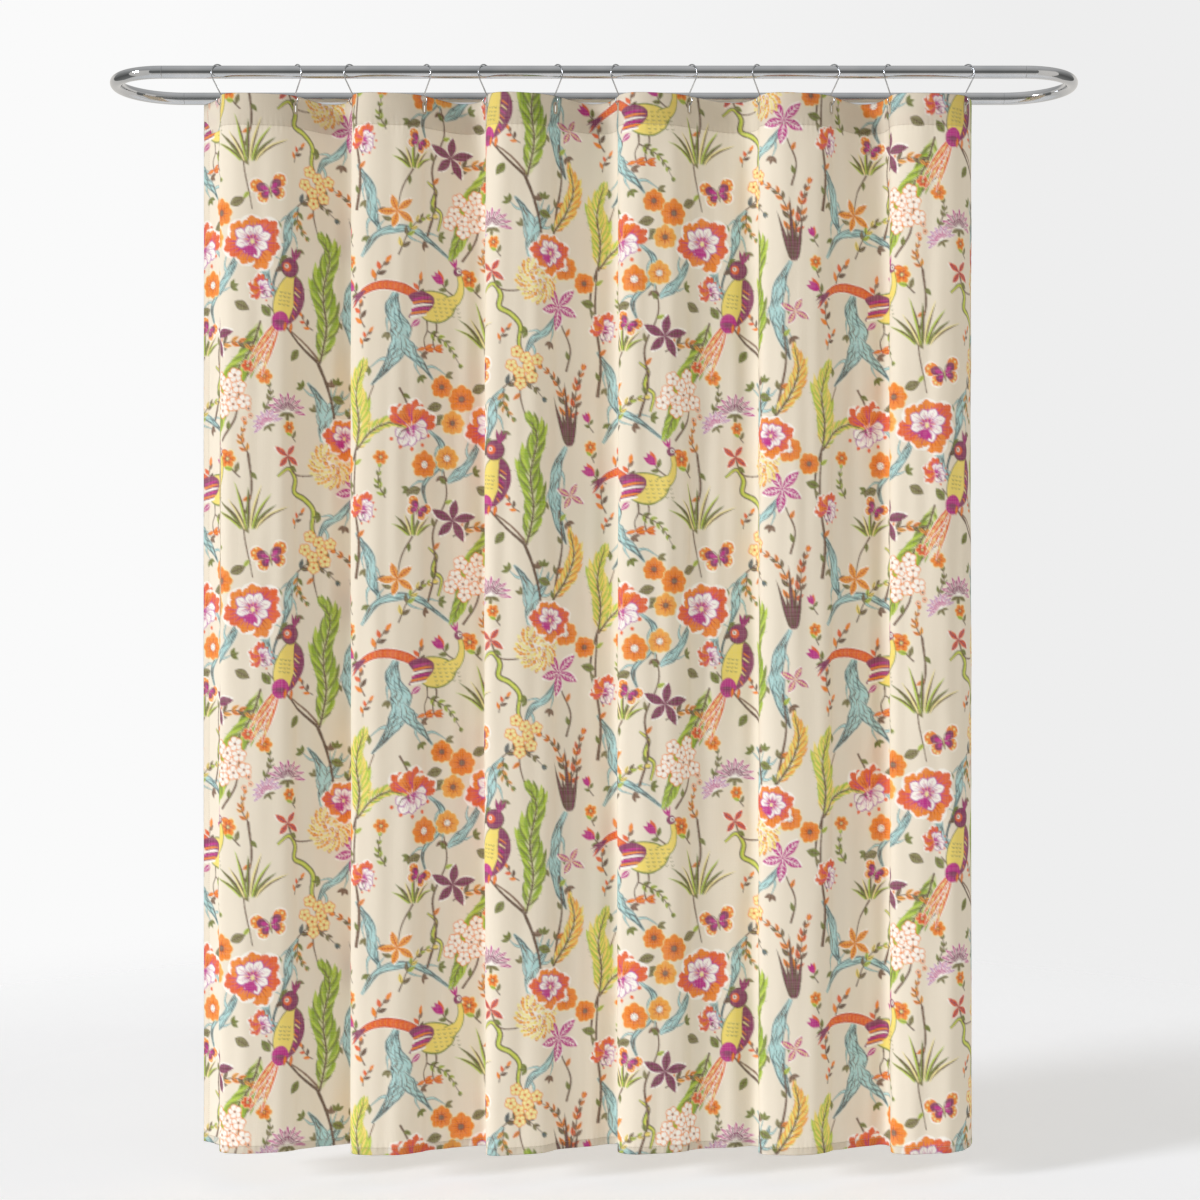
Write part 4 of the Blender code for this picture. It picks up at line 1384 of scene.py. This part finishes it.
class SHOWERCURTAIN_OT_hooks(bpy.types.Operator):
    """Bend one wire hook and hang twelve copies of it along the front tube"""

    bl_idname = "shower_curtain.hooks"
    bl_label = "Wire hooks"

    def execute(self, context):
        pattern = self.bend_hook(context.scene.curtain_hook)
        wire = drawn_wire()
        turn = context.scene.curtain_hook.turn
        for number in range(1, HOOKS + 1):
            side = 1 if number % 2 else -1
            hook = copy_of(pattern, "hook")
            hook.data.transform(Matrix.Rotation(-side * turn, 4, "Z"))
            points = np.array([v.co for v in hook.data.vertices])
            middle = Vector((points.min(0) + points.max(0)) / 2)
            node = f"hook_{number:02d}"
            hook.data.transform(Matrix.Translation(box_centre(node) - middle))
            settle(hook, f"wire_hook_{number:02d}", node, wire, "chrome", node)
        bpy.data.objects.remove(pattern)
        return {"FINISHED"}

    def bend_hook(self, sizes):
        """The wire from its rear tip over the tube, down the leg and round the low loop."""
        start_over()
        wire = sizes.wire_radius
        tip = Vector((0, math.cos(sizes.rear_angle), -math.sin(sizes.rear_angle)))
        heading = Vector((0, math.sin(sizes.rear_angle), math.cos(sizes.rear_angle)))
        start = tip * sizes.top_radius
        bpy.ops.mesh.primitive_circle_add(
            vertices=14,
            radius=wire * 0.35,
            fill_type="NGON",
            location=start,
            rotation=(-sizes.rear_angle, 0, 0),
        )
        bpy.ops.object.mode_set(mode="EDIT")
        ring = grow(start, heading * wire * 0.25, 0.78 / 0.35)
        ring = grow(ring, heading * wire * 0.5, 1 / 0.78)
        sweep = math.pi + sizes.leg_angle + sizes.rear_angle
        self.spin(36, sweep, Vector((0, 0, 0)))
        leg = Vector((0, math.sin(sizes.leg_angle), -math.cos(sizes.leg_angle)))
        foot = sizes.top_radius * Vector(
            (0, -math.cos(sizes.leg_angle), -math.sin(sizes.leg_angle))
        )
        ring = grow(foot, leg * sizes.leg)
        foot = foot + leg * sizes.leg
        low = foot + sizes.low_radius * Vector((0, leg.z, -leg.y))
        sweep = math.pi + sizes.leg_angle + sizes.tip_angle
        self.spin(36, -sweep, low)
        tip_turn = math.pi + sizes.tip_angle
        end = low + sizes.low_radius * Vector((0, math.cos(tip_turn), -math.sin(tip_turn)))
        heading = Vector((0, -math.sin(tip_turn), -math.cos(tip_turn)))
        ring = grow(end, heading * wire * 0.5, 0.78)
        grow(ring, heading * wire * 0.25, 0.35 / 0.78)
        tidy_mesh(60)
        bpy.ops.object.transform_apply(location=True, rotation=True, scale=True)
        return bpy.context.object

    def spin(self, steps, angle, centre):
        # with no window, spin turns the other way
        bpy.ops.mesh.spin(steps=steps, angle=-angle, center=centre, axis=(1, 0, 0))


# Cloth

GENTLE_TURN = 0.07  # share of a fold over which its gentle end turns away
FOLD_LEVELS = np.array((0.0, 0.03, 0.06, 0.1, 0.2, 0.5, 0.9, 1.3, 1.6, CLOTH_HEIGHT))
# painted shade: share to which the hems' print colours are darkened, for their double layer
HEM_PAINTED_SHADE = 0.9
FINE = 8  # steps of a fold's walk in each cell of the mesh


def smoothstep(x):
    """Rises from 0 to 1, level at both ends."""
    x = np.clip(x, 0, 1)
    return x * x * (3 - 2 * x)


def fold_headings(steep, gentle, bow, v, turn, tilt):
    """Slope of the cloth along one fold, seen from above, walked from its steep end.

    It leaves the hook edge-on, turns to a broad front after a while and turns away tightly
    at the far end. Bow holds the front's slope and where the first turn is.
    """
    front, flank = bow
    edge = (1 + np.exp(-flank / turn)) / (1 + np.exp((v - flank) / turn))
    middle = front + tilt * (v - 0.5)
    middle = middle + (gentle - front - tilt / 2) * np.exp((v - 1) / GENTLE_TURN)
    return middle + (steep - middle) * edge


def fit_fold(steep, gentle, chord, guess, turn, tilt):
    """Finds the bow with which the fold ends a chord along and level with its start."""
    v = (np.arange(300) + 0.5) / 300
    bow = np.array(guess, float)

    def miss(bow):
        h = fold_headings(steep, gentle, bow, v, turn, tilt)
        return np.array((np.cos(h).mean() - chord, np.sin(h).mean()))

    for _ in range(90):
        off = miss(bow)
        if abs(off).max() < 1e-8:
            return bow
        slopes = np.stack([(miss(bow + nudge) - off) / 1e-6 for nudge in np.eye(2) * 1e-6], 1)
        step = np.linalg.solve(slopes, off)
        bow -= step * min(1, 0.06 / (abs(step).max() + 1e-12))
    raise RuntimeError("a fold couldn't be fitted between its hooks")


def hook_slope(number, down, sizes):
    """Slope of the cloth where it passes a hook, at a distance down from the top."""
    wander = 0.05 * np.sin(2.1 * number + 3.3 * down) + 0.03 * np.sin(5.1 * number + 7.0 * down)
    if number % 2:
        low_down = -(sizes.steep + wander)
        at_hook = -math.radians(80)
    else:
        low_down = sizes.gentle + 1.6 * wander
        at_hook = math.radians(50)
    return at_hook + (low_down - at_hook) * smoothstep(down / 0.10)


def drape(number, columns, down, sizes):
    """Front surface of the span after a hook: rows down by columns across, in metres."""
    pitch = sizes.pitch
    chord = (SLOTS[number].x - SLOTS[number - 1].x) / pitch
    pleat = number % 2 == 1
    tilt = sizes.pleat_tilt if pleat else sizes.dip_tilt
    # the hem is stiff and bends roundly, below it the flanks draw in
    turns_at = np.interp(FOLD_LEVELS, (0, 0.06, 0.25), (0.12, 0.10, 0.04))
    fits = []
    guess = (0.1, 0.15)
    for level, turn in zip(FOLD_LEVELS, turns_at):
        ends = [hook_slope(n, level, sizes) for n in (number, number + 1)]
        steep, gentle = ends if pleat else ends[::-1]
        guess = fit_fold(steep, gentle, chord, guess, turn, tilt)
        fits.append(guess)
    fits = np.array(fits)
    bows = [np.interp(down, FOLD_LEVELS, fits[:, k])[:, None] for k in (0, 1)]
    turn = np.interp(down, FOLD_LEVELS, turns_at)[:, None]
    ends = [hook_slope(n, down, sizes)[:, None] for n in (number, number + 1)]
    steep, gentle = ends if pleat else ends[::-1]
    steps = (columns - 1) * FINE
    u = ((np.arange(steps) + 0.5) / steps)[None, :]
    h = fold_headings(steep, gentle, bows, u if pleat else 1 - u, turn, tilt)
    x = np.cumsum(np.cos(h), 1) / steps
    y = np.cumsum(np.sin(h), 1) / steps
    x = np.hstack((np.zeros((len(down), 1)), x))[:, ::FINE]
    y = np.hstack((np.zeros((len(down), 1)), y))[:, ::FINE]
    share = np.linspace(0, 1, columns)[None, :]
    x += share * (chord - x[:, -1:])
    y -= share * y[:, -1:]
    slope = fold_headings(steep, gentle, bows, share if pleat else 1 - share, turn, tilt)
    return x * pitch, y * pitch, slope, share


def edge_drape(left, columns, down, sizes):
    """The flap outside the first or last hook, from the hook to the side edge."""
    length = sizes.flap
    reach = (0.040 if left else 0.023) / length
    steps = (columns - 1) * FINE
    u = ((np.arange(steps) + 0.5) / steps)[None, :]
    number = 1 if left else HOOKS
    start = hook_slope(number, down, sizes)[:, None]
    if left:
        start = -start
    share = np.linspace(0, 1, columns)[None, :]

    def along(bow, u):
        return start + bow * np.sin(np.pi * u * 0.5) ** 0.8

    low, high = np.full_like(start, -2.5), np.full_like(start, 2.5)
    for _ in range(40):
        bow = (low + high) / 2
        wide = np.cos(along(bow, u)).mean(1, keepdims=True)
        low = np.where(wide > reach, bow, low)
        high = np.where(wide > reach, high, bow)
    h = along(bow, u)
    zero = np.zeros((len(down), 1))
    x = np.hstack((zero, np.cumsum(np.cos(h), 1) / steps))[:, ::FINE] * length
    y = np.hstack((zero, np.cumsum(np.sin(h), 1) / steps))[:, ::FINE] * length
    return x, y, along(bow, share), share


def relief_at(flat_s, down, sizes):
    """Small ripples and puckers, off the cloth's own surface, in metres."""
    s, t = flat_s[None, :], down[:, None]
    ripple = np.zeros((len(down), len(flat_s)))
    for length, high, drift, phase in (
        (0.061, 0.0009, 2.1, 0.3), (0.047, 0.0007, -2.9, 1.9), (0.083, 0.0012, 1.3, 4.1),
        (0.031, 0.00035, 3.7, 2.2),
    ):
        ripple += high * np.sin(2 * np.pi * s / length + drift * t + phase) * np.sin(
            1.9 * t * (1 + 5 * length) + phase * 3
        )
    # slack cloth buckles a little across the folds
    ripple += 0.0005 * np.sin(2 * np.pi * t / 0.21 + 9 * s) * np.sin(2 * np.pi * s / 0.11)
    ripple *= smoothstep(t / 0.1)
    # the hems' stitching pulls the cloth in and puckers it
    for line in (sizes.top_hem - 0.0015, CLOTH_HEIGHT - sizes.bottom_hem + 0.001):
        near = np.exp(-(((t - line) / 0.003) ** 2))
        pucker = np.exp(-(((t - line) / 0.012) ** 2))
        ripple -= 0.0004 * near
        ripple += 0.00025 * pucker * np.sin(2 * np.pi * s / 0.009 + 2 * np.sin(23 * s))
    # flat round each buttonhole
    pitch = sizes.pitch
    from_slot = np.abs((s - sizes.flap + pitch / 2) % pitch - pitch / 2)
    clear = 1 - np.exp(-((from_slot / 0.012) ** 2)) * np.exp(-(((t - 0.021) / 0.02) ** 2))
    return ripple * clear


def sheet_rows(sizes):
    """Path down the cloth: up the top hem's inner layer, down the front, up the bottom hem."""
    count = round((sizes.top_hem + CLOTH_HEIGHT + sizes.bottom_hem) / sizes.grid)
    step = (sizes.top_hem + CLOTH_HEIGHT + sizes.bottom_hem) / count
    rows = np.arange(count + 1) * step - sizes.top_hem
    for fold in (0.0, CLOTH_HEIGHT):
        rows[np.argmin(abs(rows - fold))] = fold
    return rows


def panel_points(panel, sizes):
    """Points of one panel: panel 0 is the left flap, 12 the right one, the rest are spans."""
    rows = sheet_rows(sizes)
    down = np.where(rows < 0, -rows, np.where(rows > CLOTH_HEIGHT, 2 * CLOTH_HEIGHT - rows, rows))
    inner = sizes.layer * (
        smoothstep(-rows / 0.0015) + smoothstep((rows - CLOTH_HEIGHT) / 0.0015)
    )
    if panel in (0, HOOKS):
        left = panel == 0
        columns = round(sizes.flap / sizes.grid) + 1
        x, y, slope, share = edge_drape(left, columns, down, sizes)
        flat = share[0] * sizes.flap
        hem = np.arange(1, round(sizes.side_hem / sizes.grid) + 1) * sizes.grid
        keep = [columns - 1 - k for k in range(1, len(hem) + 1)]
        x, y, slope = (np.hstack((a, a[:, keep])) for a in (x, y, slope))
        flat = np.hstack((flat, sizes.flap + hem))
        layer = np.hstack((np.zeros(columns), np.full(len(hem), 1.3 * sizes.layer)))
        sign = -1 if left else 1
        place = np.hstack((share[0] * sizes.flap, share[0][keep] * sizes.flap))
        anchor = SLOTS[0] if left else SLOTS[-1]
        flat_s = sizes.flap - place if left else sizes.flap + (HOOKS - 1) * sizes.pitch + place
        print_s = sizes.flap - flat if left else sizes.flap + (HOOKS - 1) * sizes.pitch + flat
        if left:
            slope = np.pi - slope
        x = sign * x
    else:
        columns = round(sizes.pitch / sizes.grid) + 1
        x, y, slope, share = drape(panel, columns, down, sizes)
        anchor = SLOTS[panel - 1]
        flat_s = print_s = sizes.flap + (panel - 1 + share[0]) * sizes.pitch
        layer = np.zeros(columns)
    relief = relief_at(flat_s, down, sizes)
    front = np.sin(slope), -np.cos(slope)
    if panel == 0:
        # the flap is walked from its hook outwards, so its slope runs the other way
        front = np.sin(slope), np.cos(slope)
    off = relief - inner[:, None] - layer[None, :]
    px = anchor.x + x + off * front[0]
    py = anchor.y + y + off * front[1]
    sag = 0.0012
    if panel not in (0, HOOKS):
        sag = 0.0034 if panel % 2 == 0 else 0.0016
        bell = np.sin(np.pi * np.linspace(0, 1, columns)) ** 2
    else:
        bell = np.clip(np.hstack((share[0], np.ones(len(hem)))), 0, 1) ** 2
    drop = sag * bell[None, :] * np.exp(-down[:, None] / 0.22)
    foot = 0.0022 * np.sin(7.3 * flat_s + 0.6)[None, :] * smoothstep((down[:, None] - 1.2) / 0.6)
    pz = CLOTH_TOP - down[:, None] - drop + foot * 0.6
    points = np.stack((px, py, pz), 2)
    if panel == 0:
        points = points[:, ::-1]
        print_s = print_s[::-1]
    return points, rows, print_s


def grid_object(name, points, keep, print_s, rows, colours):
    """A sheet mesh over a grid of points, with its flat place and its print on it."""
    high, wide = points.shape[:2]
    index = np.arange(high * wide).reshape(high, wide)
    corners = np.stack((index[:-1, :-1], index[1:, :-1], index[1:, 1:], index[:-1, 1:]), 2)[keep]
    used = np.zeros(high * wide, bool)
    used[corners] = True
    renumber = np.cumsum(used) - 1
    corners = renumber[corners].reshape(-1).astype(np.int32)
    count = len(corners) // 4
    mesh = bpy.data.meshes.new(name)
    mesh.vertices.add(int(used.sum()))
    mesh.vertices.foreach_set("co", points.reshape(-1, 3)[used].astype(np.float32).ravel())
    mesh.loops.add(len(corners))
    mesh.loops.foreach_set("vertex_index", corners)
    mesh.polygons.add(count)
    mesh.polygons.foreach_set("loop_start", np.arange(count, dtype=np.int32) * 4)
    mesh.polygons.foreach_set("loop_total", np.full(count, 4, np.int32))
    mesh.update(calc_edges=True)
    mesh.shade_smooth()
    s = np.broadcast_to(print_s[None, :], (high, wide)).reshape(-1)[used][corners]
    t = np.broadcast_to(rows[:, None], (high, wide)).reshape(-1)[used][corners]
    flat = mesh.uv_layers.new(name="Flat")
    flat.data.foreach_set("uv", np.stack((s, -t), 1).astype(np.float32).ravel())
    bake = mesh.uv_layers.new(name="OFBake")
    edges = print_s.min(), print_s.max(), rows.min(), rows.max()
    u = 0.002 + 0.996 * (s - edges[0]) / (edges[1] - edges[0])
    v = 0.998 - 0.996 * (t - edges[2]) / (edges[3] - edges[2])
    bake.data.foreach_set("uv", np.stack((u, v), 1).astype(np.float32).ravel())
    # print colours, with painted shade darkening the hems
    paint = mesh.attributes.new("Print", "FLOAT_COLOR", "POINT")
    shades = np.ones((int(used.sum()), 4), np.float32)
    shades[:, :3] = colours.reshape(-1, 3)[used]
    paint.data.foreach_set("color", shades.ravel())
    made = bpy.data.objects.new(name, mesh)
    bpy.context.scene.collection.objects.link(made)
    return made


def look_up(cloth, s, t, spread):
    """Colours of the print at flat places in metres, each averaged over its mesh cell."""
    x, y = np.broadcast_arrays(s[None, :] * 1000 + PRINT_LEFT, t[:, None] * 1000 + PRINT_TOP)
    total = 0
    taps = np.linspace(-0.5, 0.5, 4) * spread * 1000 * 0.8  # a little inside the cell
    for dx in taps:
        for dy in taps:
            total = total + cloth.colour[cloth.cells(x + dx, y + dy)]
    return total / len(taps) ** 2


class SHOWERCURTAIN_OT_cloth(bpy.types.Operator):
    """Hang the printed cloth: a panel between each two buttonholes and a flap at each side"""

    bl_idname = "shower_curtain.cloth"
    bl_label = "Printed curtain"

    def execute(self, context):
        sizes = context.scene.curtain_cloth
        cloth = printed_cloth(context.scene.curtain_print)
        cotton = printed_cotton()
        half = sizes.slot_width / 2
        top, bottom = sizes.slot_drop, sizes.slot_drop + sizes.slot_height
        for panel in range(HOOKS + 1):
            points, rows, print_s = panel_points(panel, sizes)
            mid_s = (print_s[1:] + print_s[:-1]) / 2
            mid_t = abs(rows[1:] + rows[:-1]) / 2
            from_slot = abs((mid_s - sizes.flap + sizes.pitch / 2) % sizes.pitch - sizes.pitch / 2)
            in_height = (mid_t > top) & (mid_t < bottom)
            keep = ~(in_height[:, None] & (from_slot < half)[None, :])
            colours = look_up(cloth, print_s, rows, sizes.grid)
            # painted shade: a hem's print colours are darkened, as its two layers let less light
            # through
            from_foot = abs(rows - CLOTH_HEIGHT)
            colours[(abs(rows) < sizes.top_hem) | (from_foot < sizes.bottom_hem)] *= HEM_PAINTED_SHADE
            if panel == 0:
                name, node = "curtain_side_left", "curtain_flap_left"
            elif panel == HOOKS:
                name, node = "curtain_side_right", "curtain_flap_right"
            else:
                name, node = f"curtain_panel_{panel:02d}", f"curtain_span_{panel:02d}"
            made = grid_object(name, points, keep, print_s, rows, colours)
            hang(made, name, panel, cotton, "cloth", node)
        return {"FINISHED"}


class SHOWERCURTAIN_OT_buttonholes(bpy.types.Operator):
    """Stitch round each buttonhole"""

    bl_idname = "shower_curtain.buttonholes"
    bl_label = "Buttonhole stitching"

    def execute(self, context):
        sizes = context.scene.curtain_cloth
        pattern = self.stitch_ring(sizes)
        thread = sewing_thread()
        for number in range(1, HOOKS + 1):
            ring = copy_of(pattern, "ring")
            slope = float(hook_slope(number, np.array(0.021), sizes))
            ring.data.transform(Matrix.Rotation(slope, 4, "Z"))
            ring.data.transform(Matrix.Translation(SLOTS[number - 1]))
            settle(
                ring, f"buttonhole_stitching_{number:02d}", f"hook_{number:02d}", thread,
                "stitching", f"buttonhole_{number:02d}",
            )
        bpy.data.objects.remove(pattern)
        return {"FINISHED"}

    def stitch_ring(self, sizes):
        """A flat band of close stitches round the slot, which stands on end."""
        start_over()
        band = 0.004
        bpy.ops.mesh.primitive_torus_add(
            major_segments=60,
            minor_segments=8,
            major_radius=sizes.slot_width / 2 + band / 2,
            minor_radius=band / 2,
            rotation=(math.pi / 2, 0, 0),
            generate_uvs=True,
        )
        ring = bpy.context.object
        bpy.ops.object.transform_apply(location=True, rotation=True, scale=True)
        stretch = (sizes.slot_height - sizes.slot_width) / 2
        for side in (-1, 1):
            choose(ring, lambda place: place.z * side > 1e-6)
            bpy.ops.transform.translate(value=(0, 0, side * stretch))
        bpy.ops.mesh.select_all(action="SELECT")
        bpy.ops.transform.resize(value=(1, 0.62, 1), center_override=(0, 0, 0))
        bpy.ops.mesh.normals_make_consistent(inside=False)
        bpy.ops.object.mode_set(mode="OBJECT")
        bpy.ops.object.shade_smooth()
        ring.data.uv_layers[0].name = "Thread"
        return ring


class SHOWERCURTAIN_OT_hem_stitches(bpy.types.Operator):
    """Sew the hems with rows of small stitches"""

    bl_idname = "shower_curtain.hem_stitches"
    bl_label = "Hem stitching"

    def execute(self, context):
        sizes = context.scene.curtain_cloth
        stitch = self.one_stitch()
        shape = np.array([v.co for v in stitch.data.vertices])
        faces = [tuple(p.vertices) for p in stitch.data.polygons]
        bpy.data.objects.remove(stitch)
        thread = sewing_thread()
        for panel in range(HOOKS + 1):
            points, rows, _ = panel_points(panel, sizes)
            lines = []
            for depth in (sizes.top_hem - 0.0018, CLOTH_HEIGHT - sizes.bottom_hem + 0.0015):
                lines.append(points[np.argmin(abs(rows - depth))])
            if panel in (0, HOOKS):
                hem = round(sizes.side_hem / sizes.grid)
                inside = 2 * hem if panel == 0 else points.shape[1] - 1 - 2 * hem
                front = (rows > 0.001) & (rows < CLOTH_HEIGHT - 0.001)
                lines.append(points[front, inside])
                flat_in = hem if panel == 0 else 0
                flat_out = points.shape[1] - (hem if panel == HOOKS else 0)
                lines[0], lines[1] = lines[0][flat_in:flat_out], lines[1][flat_in:flat_out]
            verts, polys = [], []
            for line in lines:
                self.sew(line, shape, faces, verts, polys)
            mesh = bpy.data.meshes.new("stitches")
            mesh.from_pydata(np.vstack(verts).tolist(), [], polys)
            mesh.shade_smooth()
            uv = mesh.uv_layers.new(name="Thread")
            loops = np.zeros(len(mesh.loops), np.int32)
            mesh.loops.foreach_get("vertex_index", loops)
            local = np.vstack([shape] * (len(verts)))[loops]
            uv.data.foreach_set("uv", (local[:, [0, 2]] * 300).astype(np.float32).ravel())
            made = bpy.data.objects.new("stitches", mesh)
            context.scene.collection.objects.link(made)
            hang(made, f"hem_stitching_{panel:02d}", panel, thread, "stitching")
        return {"FINISHED"}

    def one_stitch(self):
        """A short stretch of thread, 2.6 mm long, that dips into the cloth at both ends."""
        start_over()
        bpy.ops.mesh.primitive_cylinder_add(
            vertices=6, radius=0.00028, depth=0.0014, rotation=(0, math.pi / 2, 0)
        )
        stitch = bpy.context.object
        bpy.ops.object.transform_apply(location=True, rotation=True, scale=True)
        for side in (-1, 1):
            bpy.ops.object.mode_set(mode="EDIT")
            bpy.ops.mesh.select_all(action="DESELECT")
            mesh = bmesh.from_edit_mesh(stitch.data)
            for face in mesh.faces:
                if face.normal.x * side > 0.9:
                    face.select_set(True)
            bmesh.update_edit_mesh(stitch.data)
            bpy.ops.mesh.extrude_region_move(
                TRANSFORM_OT_translate={"value": (side * 0.0006, 0.00035, 0)}
            )
            bpy.ops.transform.resize(
                value=(1, 0.5, 0.5), center_override=(side * 0.0013, 0.00035, 0)
            )
        bpy.ops.object.mode_set(mode="OBJECT")
        return stitch

    def sew(self, line, shape, faces, verts, polys):
        """Lays copies of the stitch along a line on the cloth's front."""
        steps = np.linalg.norm(np.diff(line, axis=0), axis=1)
        reach = np.concatenate(((0,), np.cumsum(steps)))
        for centre in np.arange(0.0021, reach[-1] - 0.0015, 0.0034):
            here, ahead = (
                np.array([np.interp(d, reach, line[:, k]) for k in range(3)])
                for d in (centre - 0.0008, centre + 0.0008)
            )
            along = ahead - here
            along /= np.linalg.norm(along)
            if abs(along[2]) > 0.7:
                across = np.array((1.0, 0.0, 0.0))
            else:
                across = np.array((0.0, 0.0, 1.0))
            back = np.cross(across, along)
            back /= np.linalg.norm(back)
            if back[1] < 0:
                back = -back
            up = np.cross(along, back)
            frame_here = np.stack((along, back, up))
            place = (here + ahead) / 2 - 0.00022 * back
            base = sum(len(v) for v in verts)
            verts.append(shape @ frame_here + place)
            polys.extend(tuple(base + i for i in face) for face in faces)


class SHOWERCURTAIN_OT_stage(bpy.types.Operator):
    """Lay a pale floor, light the curtain softly from the left and place the camera"""

    bl_idname = "shower_curtain.stage"
    bl_label = "Stage, lights and camera"

    def execute(self, context):
        stage = context.scene.curtain_stage
        start_over()
        low = CLOTH_LOW.z - stage.floor_drop
        bpy.ops.mesh.primitive_circle_add(
            vertices=96, radius=stage.floor_radius, fill_type="NGON", location=(0, 0, low)
        )
        floor = settle(bpy.context.object, "studio_floor", None, stage_floor(), None)
        self.backdrop(low)
        self.flag()
        self.surroundings(context.scene)
        key = bpy.data.lights.new("key", "SUN")
        key.energy, key.angle = stage.key_strength, stage.key_softness
        key.color = stage.key_tint
        lamp = bpy.data.objects.new("key", key)
        lamp.rotation_euler = Vector((0.86, 0.46, -0.28)).to_track_quat("-Z", "Y").to_euler()
        context.scene.collection.objects.link(lamp)
        eye = bpy.data.cameras.new("camera")
        eye.sensor_width = 36
        eye.lens = stage.lens
        eye.shift_y = stage.shift
        camera = bpy.data.objects.new("camera", eye)
        camera.location = (stage.eye_side, -stage.eye_distance, stage.eye_height)
        camera.rotation_euler = (math.pi / 2, 0, 0)
        context.scene.collection.objects.link(camera)
        context.scene.camera = camera
        context.scene.view_settings.view_transform = "Standard"
        return {"FINISHED"}

    def backdrop(self, low):
        """A pale shell far round the object, which lights nothing."""
        start_over()
        bpy.ops.mesh.primitive_uv_sphere_add(
            segments=64, ring_count=32, radius=9.0, location=(0, 0, low + 1)
        )
        bpy.ops.object.shade_smooth()
        shell = settle(bpy.context.object, "studio_backdrop", None, backdrop_paper(), None)
        for way in ("diffuse", "glossy", "transmission", "volume_scatter", "shadow"):
            setattr(shell, f"visible_{way}", False)

    def flag(self):
        """Grey cards in front of the rail and at its ends, which only the chrome sees."""
        for x, y, turn, wide in ((0, -2.1, 0, 4.2), (-2.2, 0.2, 90, 1.3), (2.2, 0.2, 90, 1.3)):
            start_over()
            bpy.ops.mesh.primitive_plane_add(
                size=1, location=(x, y, -0.1), rotation=(math.pi / 2, 0, math.radians(turn))
            )
            bpy.context.object.scale = (wide, 2.5, 1)
            card = settle(bpy.context.object, "studio_flag", None, grey_card(), None)
            for way in ("camera", "diffuse", "transmission", "volume_scatter", "shadow"):
                setattr(card, f"visible_{way}", False)

    def surroundings(self, scene):
        """Soft light from all round, dimmer above, which greys the chrome's upper side."""
        world = bpy.data.worlds.new("studio")
        world.use_nodes = True
        tree = world.node_tree
        tree.nodes.clear()
        heading = add_node(tree, "TexCoord").outputs["Generated"]
        height = add_node(tree, "SeparateXYZ", {0: heading}).outputs["Z"]
        raised = add_node(
            tree, "MapRange", {"Value": height, "From Min": -1.0, "From Max": 1.0}
        ).outputs[0]
        sky = add_node(
            tree,
            "ValToRGB",
            {"Fac": raised},
            stops=(
                (0.0, rgba("#ffffff")), (0.15, rgba("#efebe5")), (0.66, rgba("#f6f2ec")),
                (0.75, rgba("#bdbcba")), (0.9, rgba("#cfcecd")), (1.0, rgba("#dedede")),
            ),
        )
        strength = scene.curtain_stage.sky_strength
        glow = add_node(
            tree, "Background", {"Color": sky.outputs["Color"], "Strength": strength}
        )
        out = add_node(tree, "OutputWorld")
        tree.links.new(glow.outputs[0], out.inputs["Surface"])
        scene.world = world


class SHOWERCURTAIN_PT_panel(bpy.types.Panel):
    """Lists the steps in their order, with the sizes and colours they use"""

    bl_label = "Shower Curtain"
    bl_idname = "SHOWERCURTAIN_PT_panel"
    bl_space_type = "VIEW_3D"
    bl_region_type = "UI"
    bl_category = "Shower Curtain"

    def draw(self, context):
        for group in GROUPS:
            box = self.layout.box()
            settings = getattr(context.scene, group)
            for name in settings.bl_rna.properties.keys():
                if name not in ("rna_type", "name"):
                    box.prop(settings, name)
        for operator in OPERATORS:
            self.layout.operator(operator.bl_idname)


GROUPS = {
    "curtain_rail": RailSettings,
    "curtain_hook": HookSettings,
    "curtain_cloth": CurtainSettings,
    "curtain_print": PrintSettings,
    "curtain_stage": StageSettings,
}
OPERATORS = (
    SHOWERCURTAIN_OT_rail,
    SHOWERCURTAIN_OT_joints,
    SHOWERCURTAIN_OT_hooks,
    SHOWERCURTAIN_OT_cloth,
    SHOWERCURTAIN_OT_buttonholes,
    SHOWERCURTAIN_OT_hem_stitches,
    SHOWERCURTAIN_OT_stage,
)
CLASSES = (*GROUPS.values(), *OPERATORS, SHOWERCURTAIN_PT_panel)


def register():
    for cls in CLASSES:
        bpy.utils.register_class(cls)
    for name, cls in GROUPS.items():
        setattr(bpy.types.Scene, name, bpy.props.PointerProperty(type=cls))


def unregister():
    for name in GROUPS:
        delattr(bpy.types.Scene, name)
    for cls in reversed(CLASSES):
        bpy.utils.unregister_class(cls)


def main():
    """Makes every piece in order."""
    register()
    bpy.ops.shower_curtain.stage()
    bpy.ops.shower_curtain.rail()
    bpy.ops.shower_curtain.joints()
    bpy.ops.shower_curtain.hooks()
    bpy.ops.shower_curtain.cloth()
    bpy.ops.shower_curtain.buttonholes()
    bpy.ops.shower_curtain.hem_stitches()


if __name__ == "__main__":
    main()
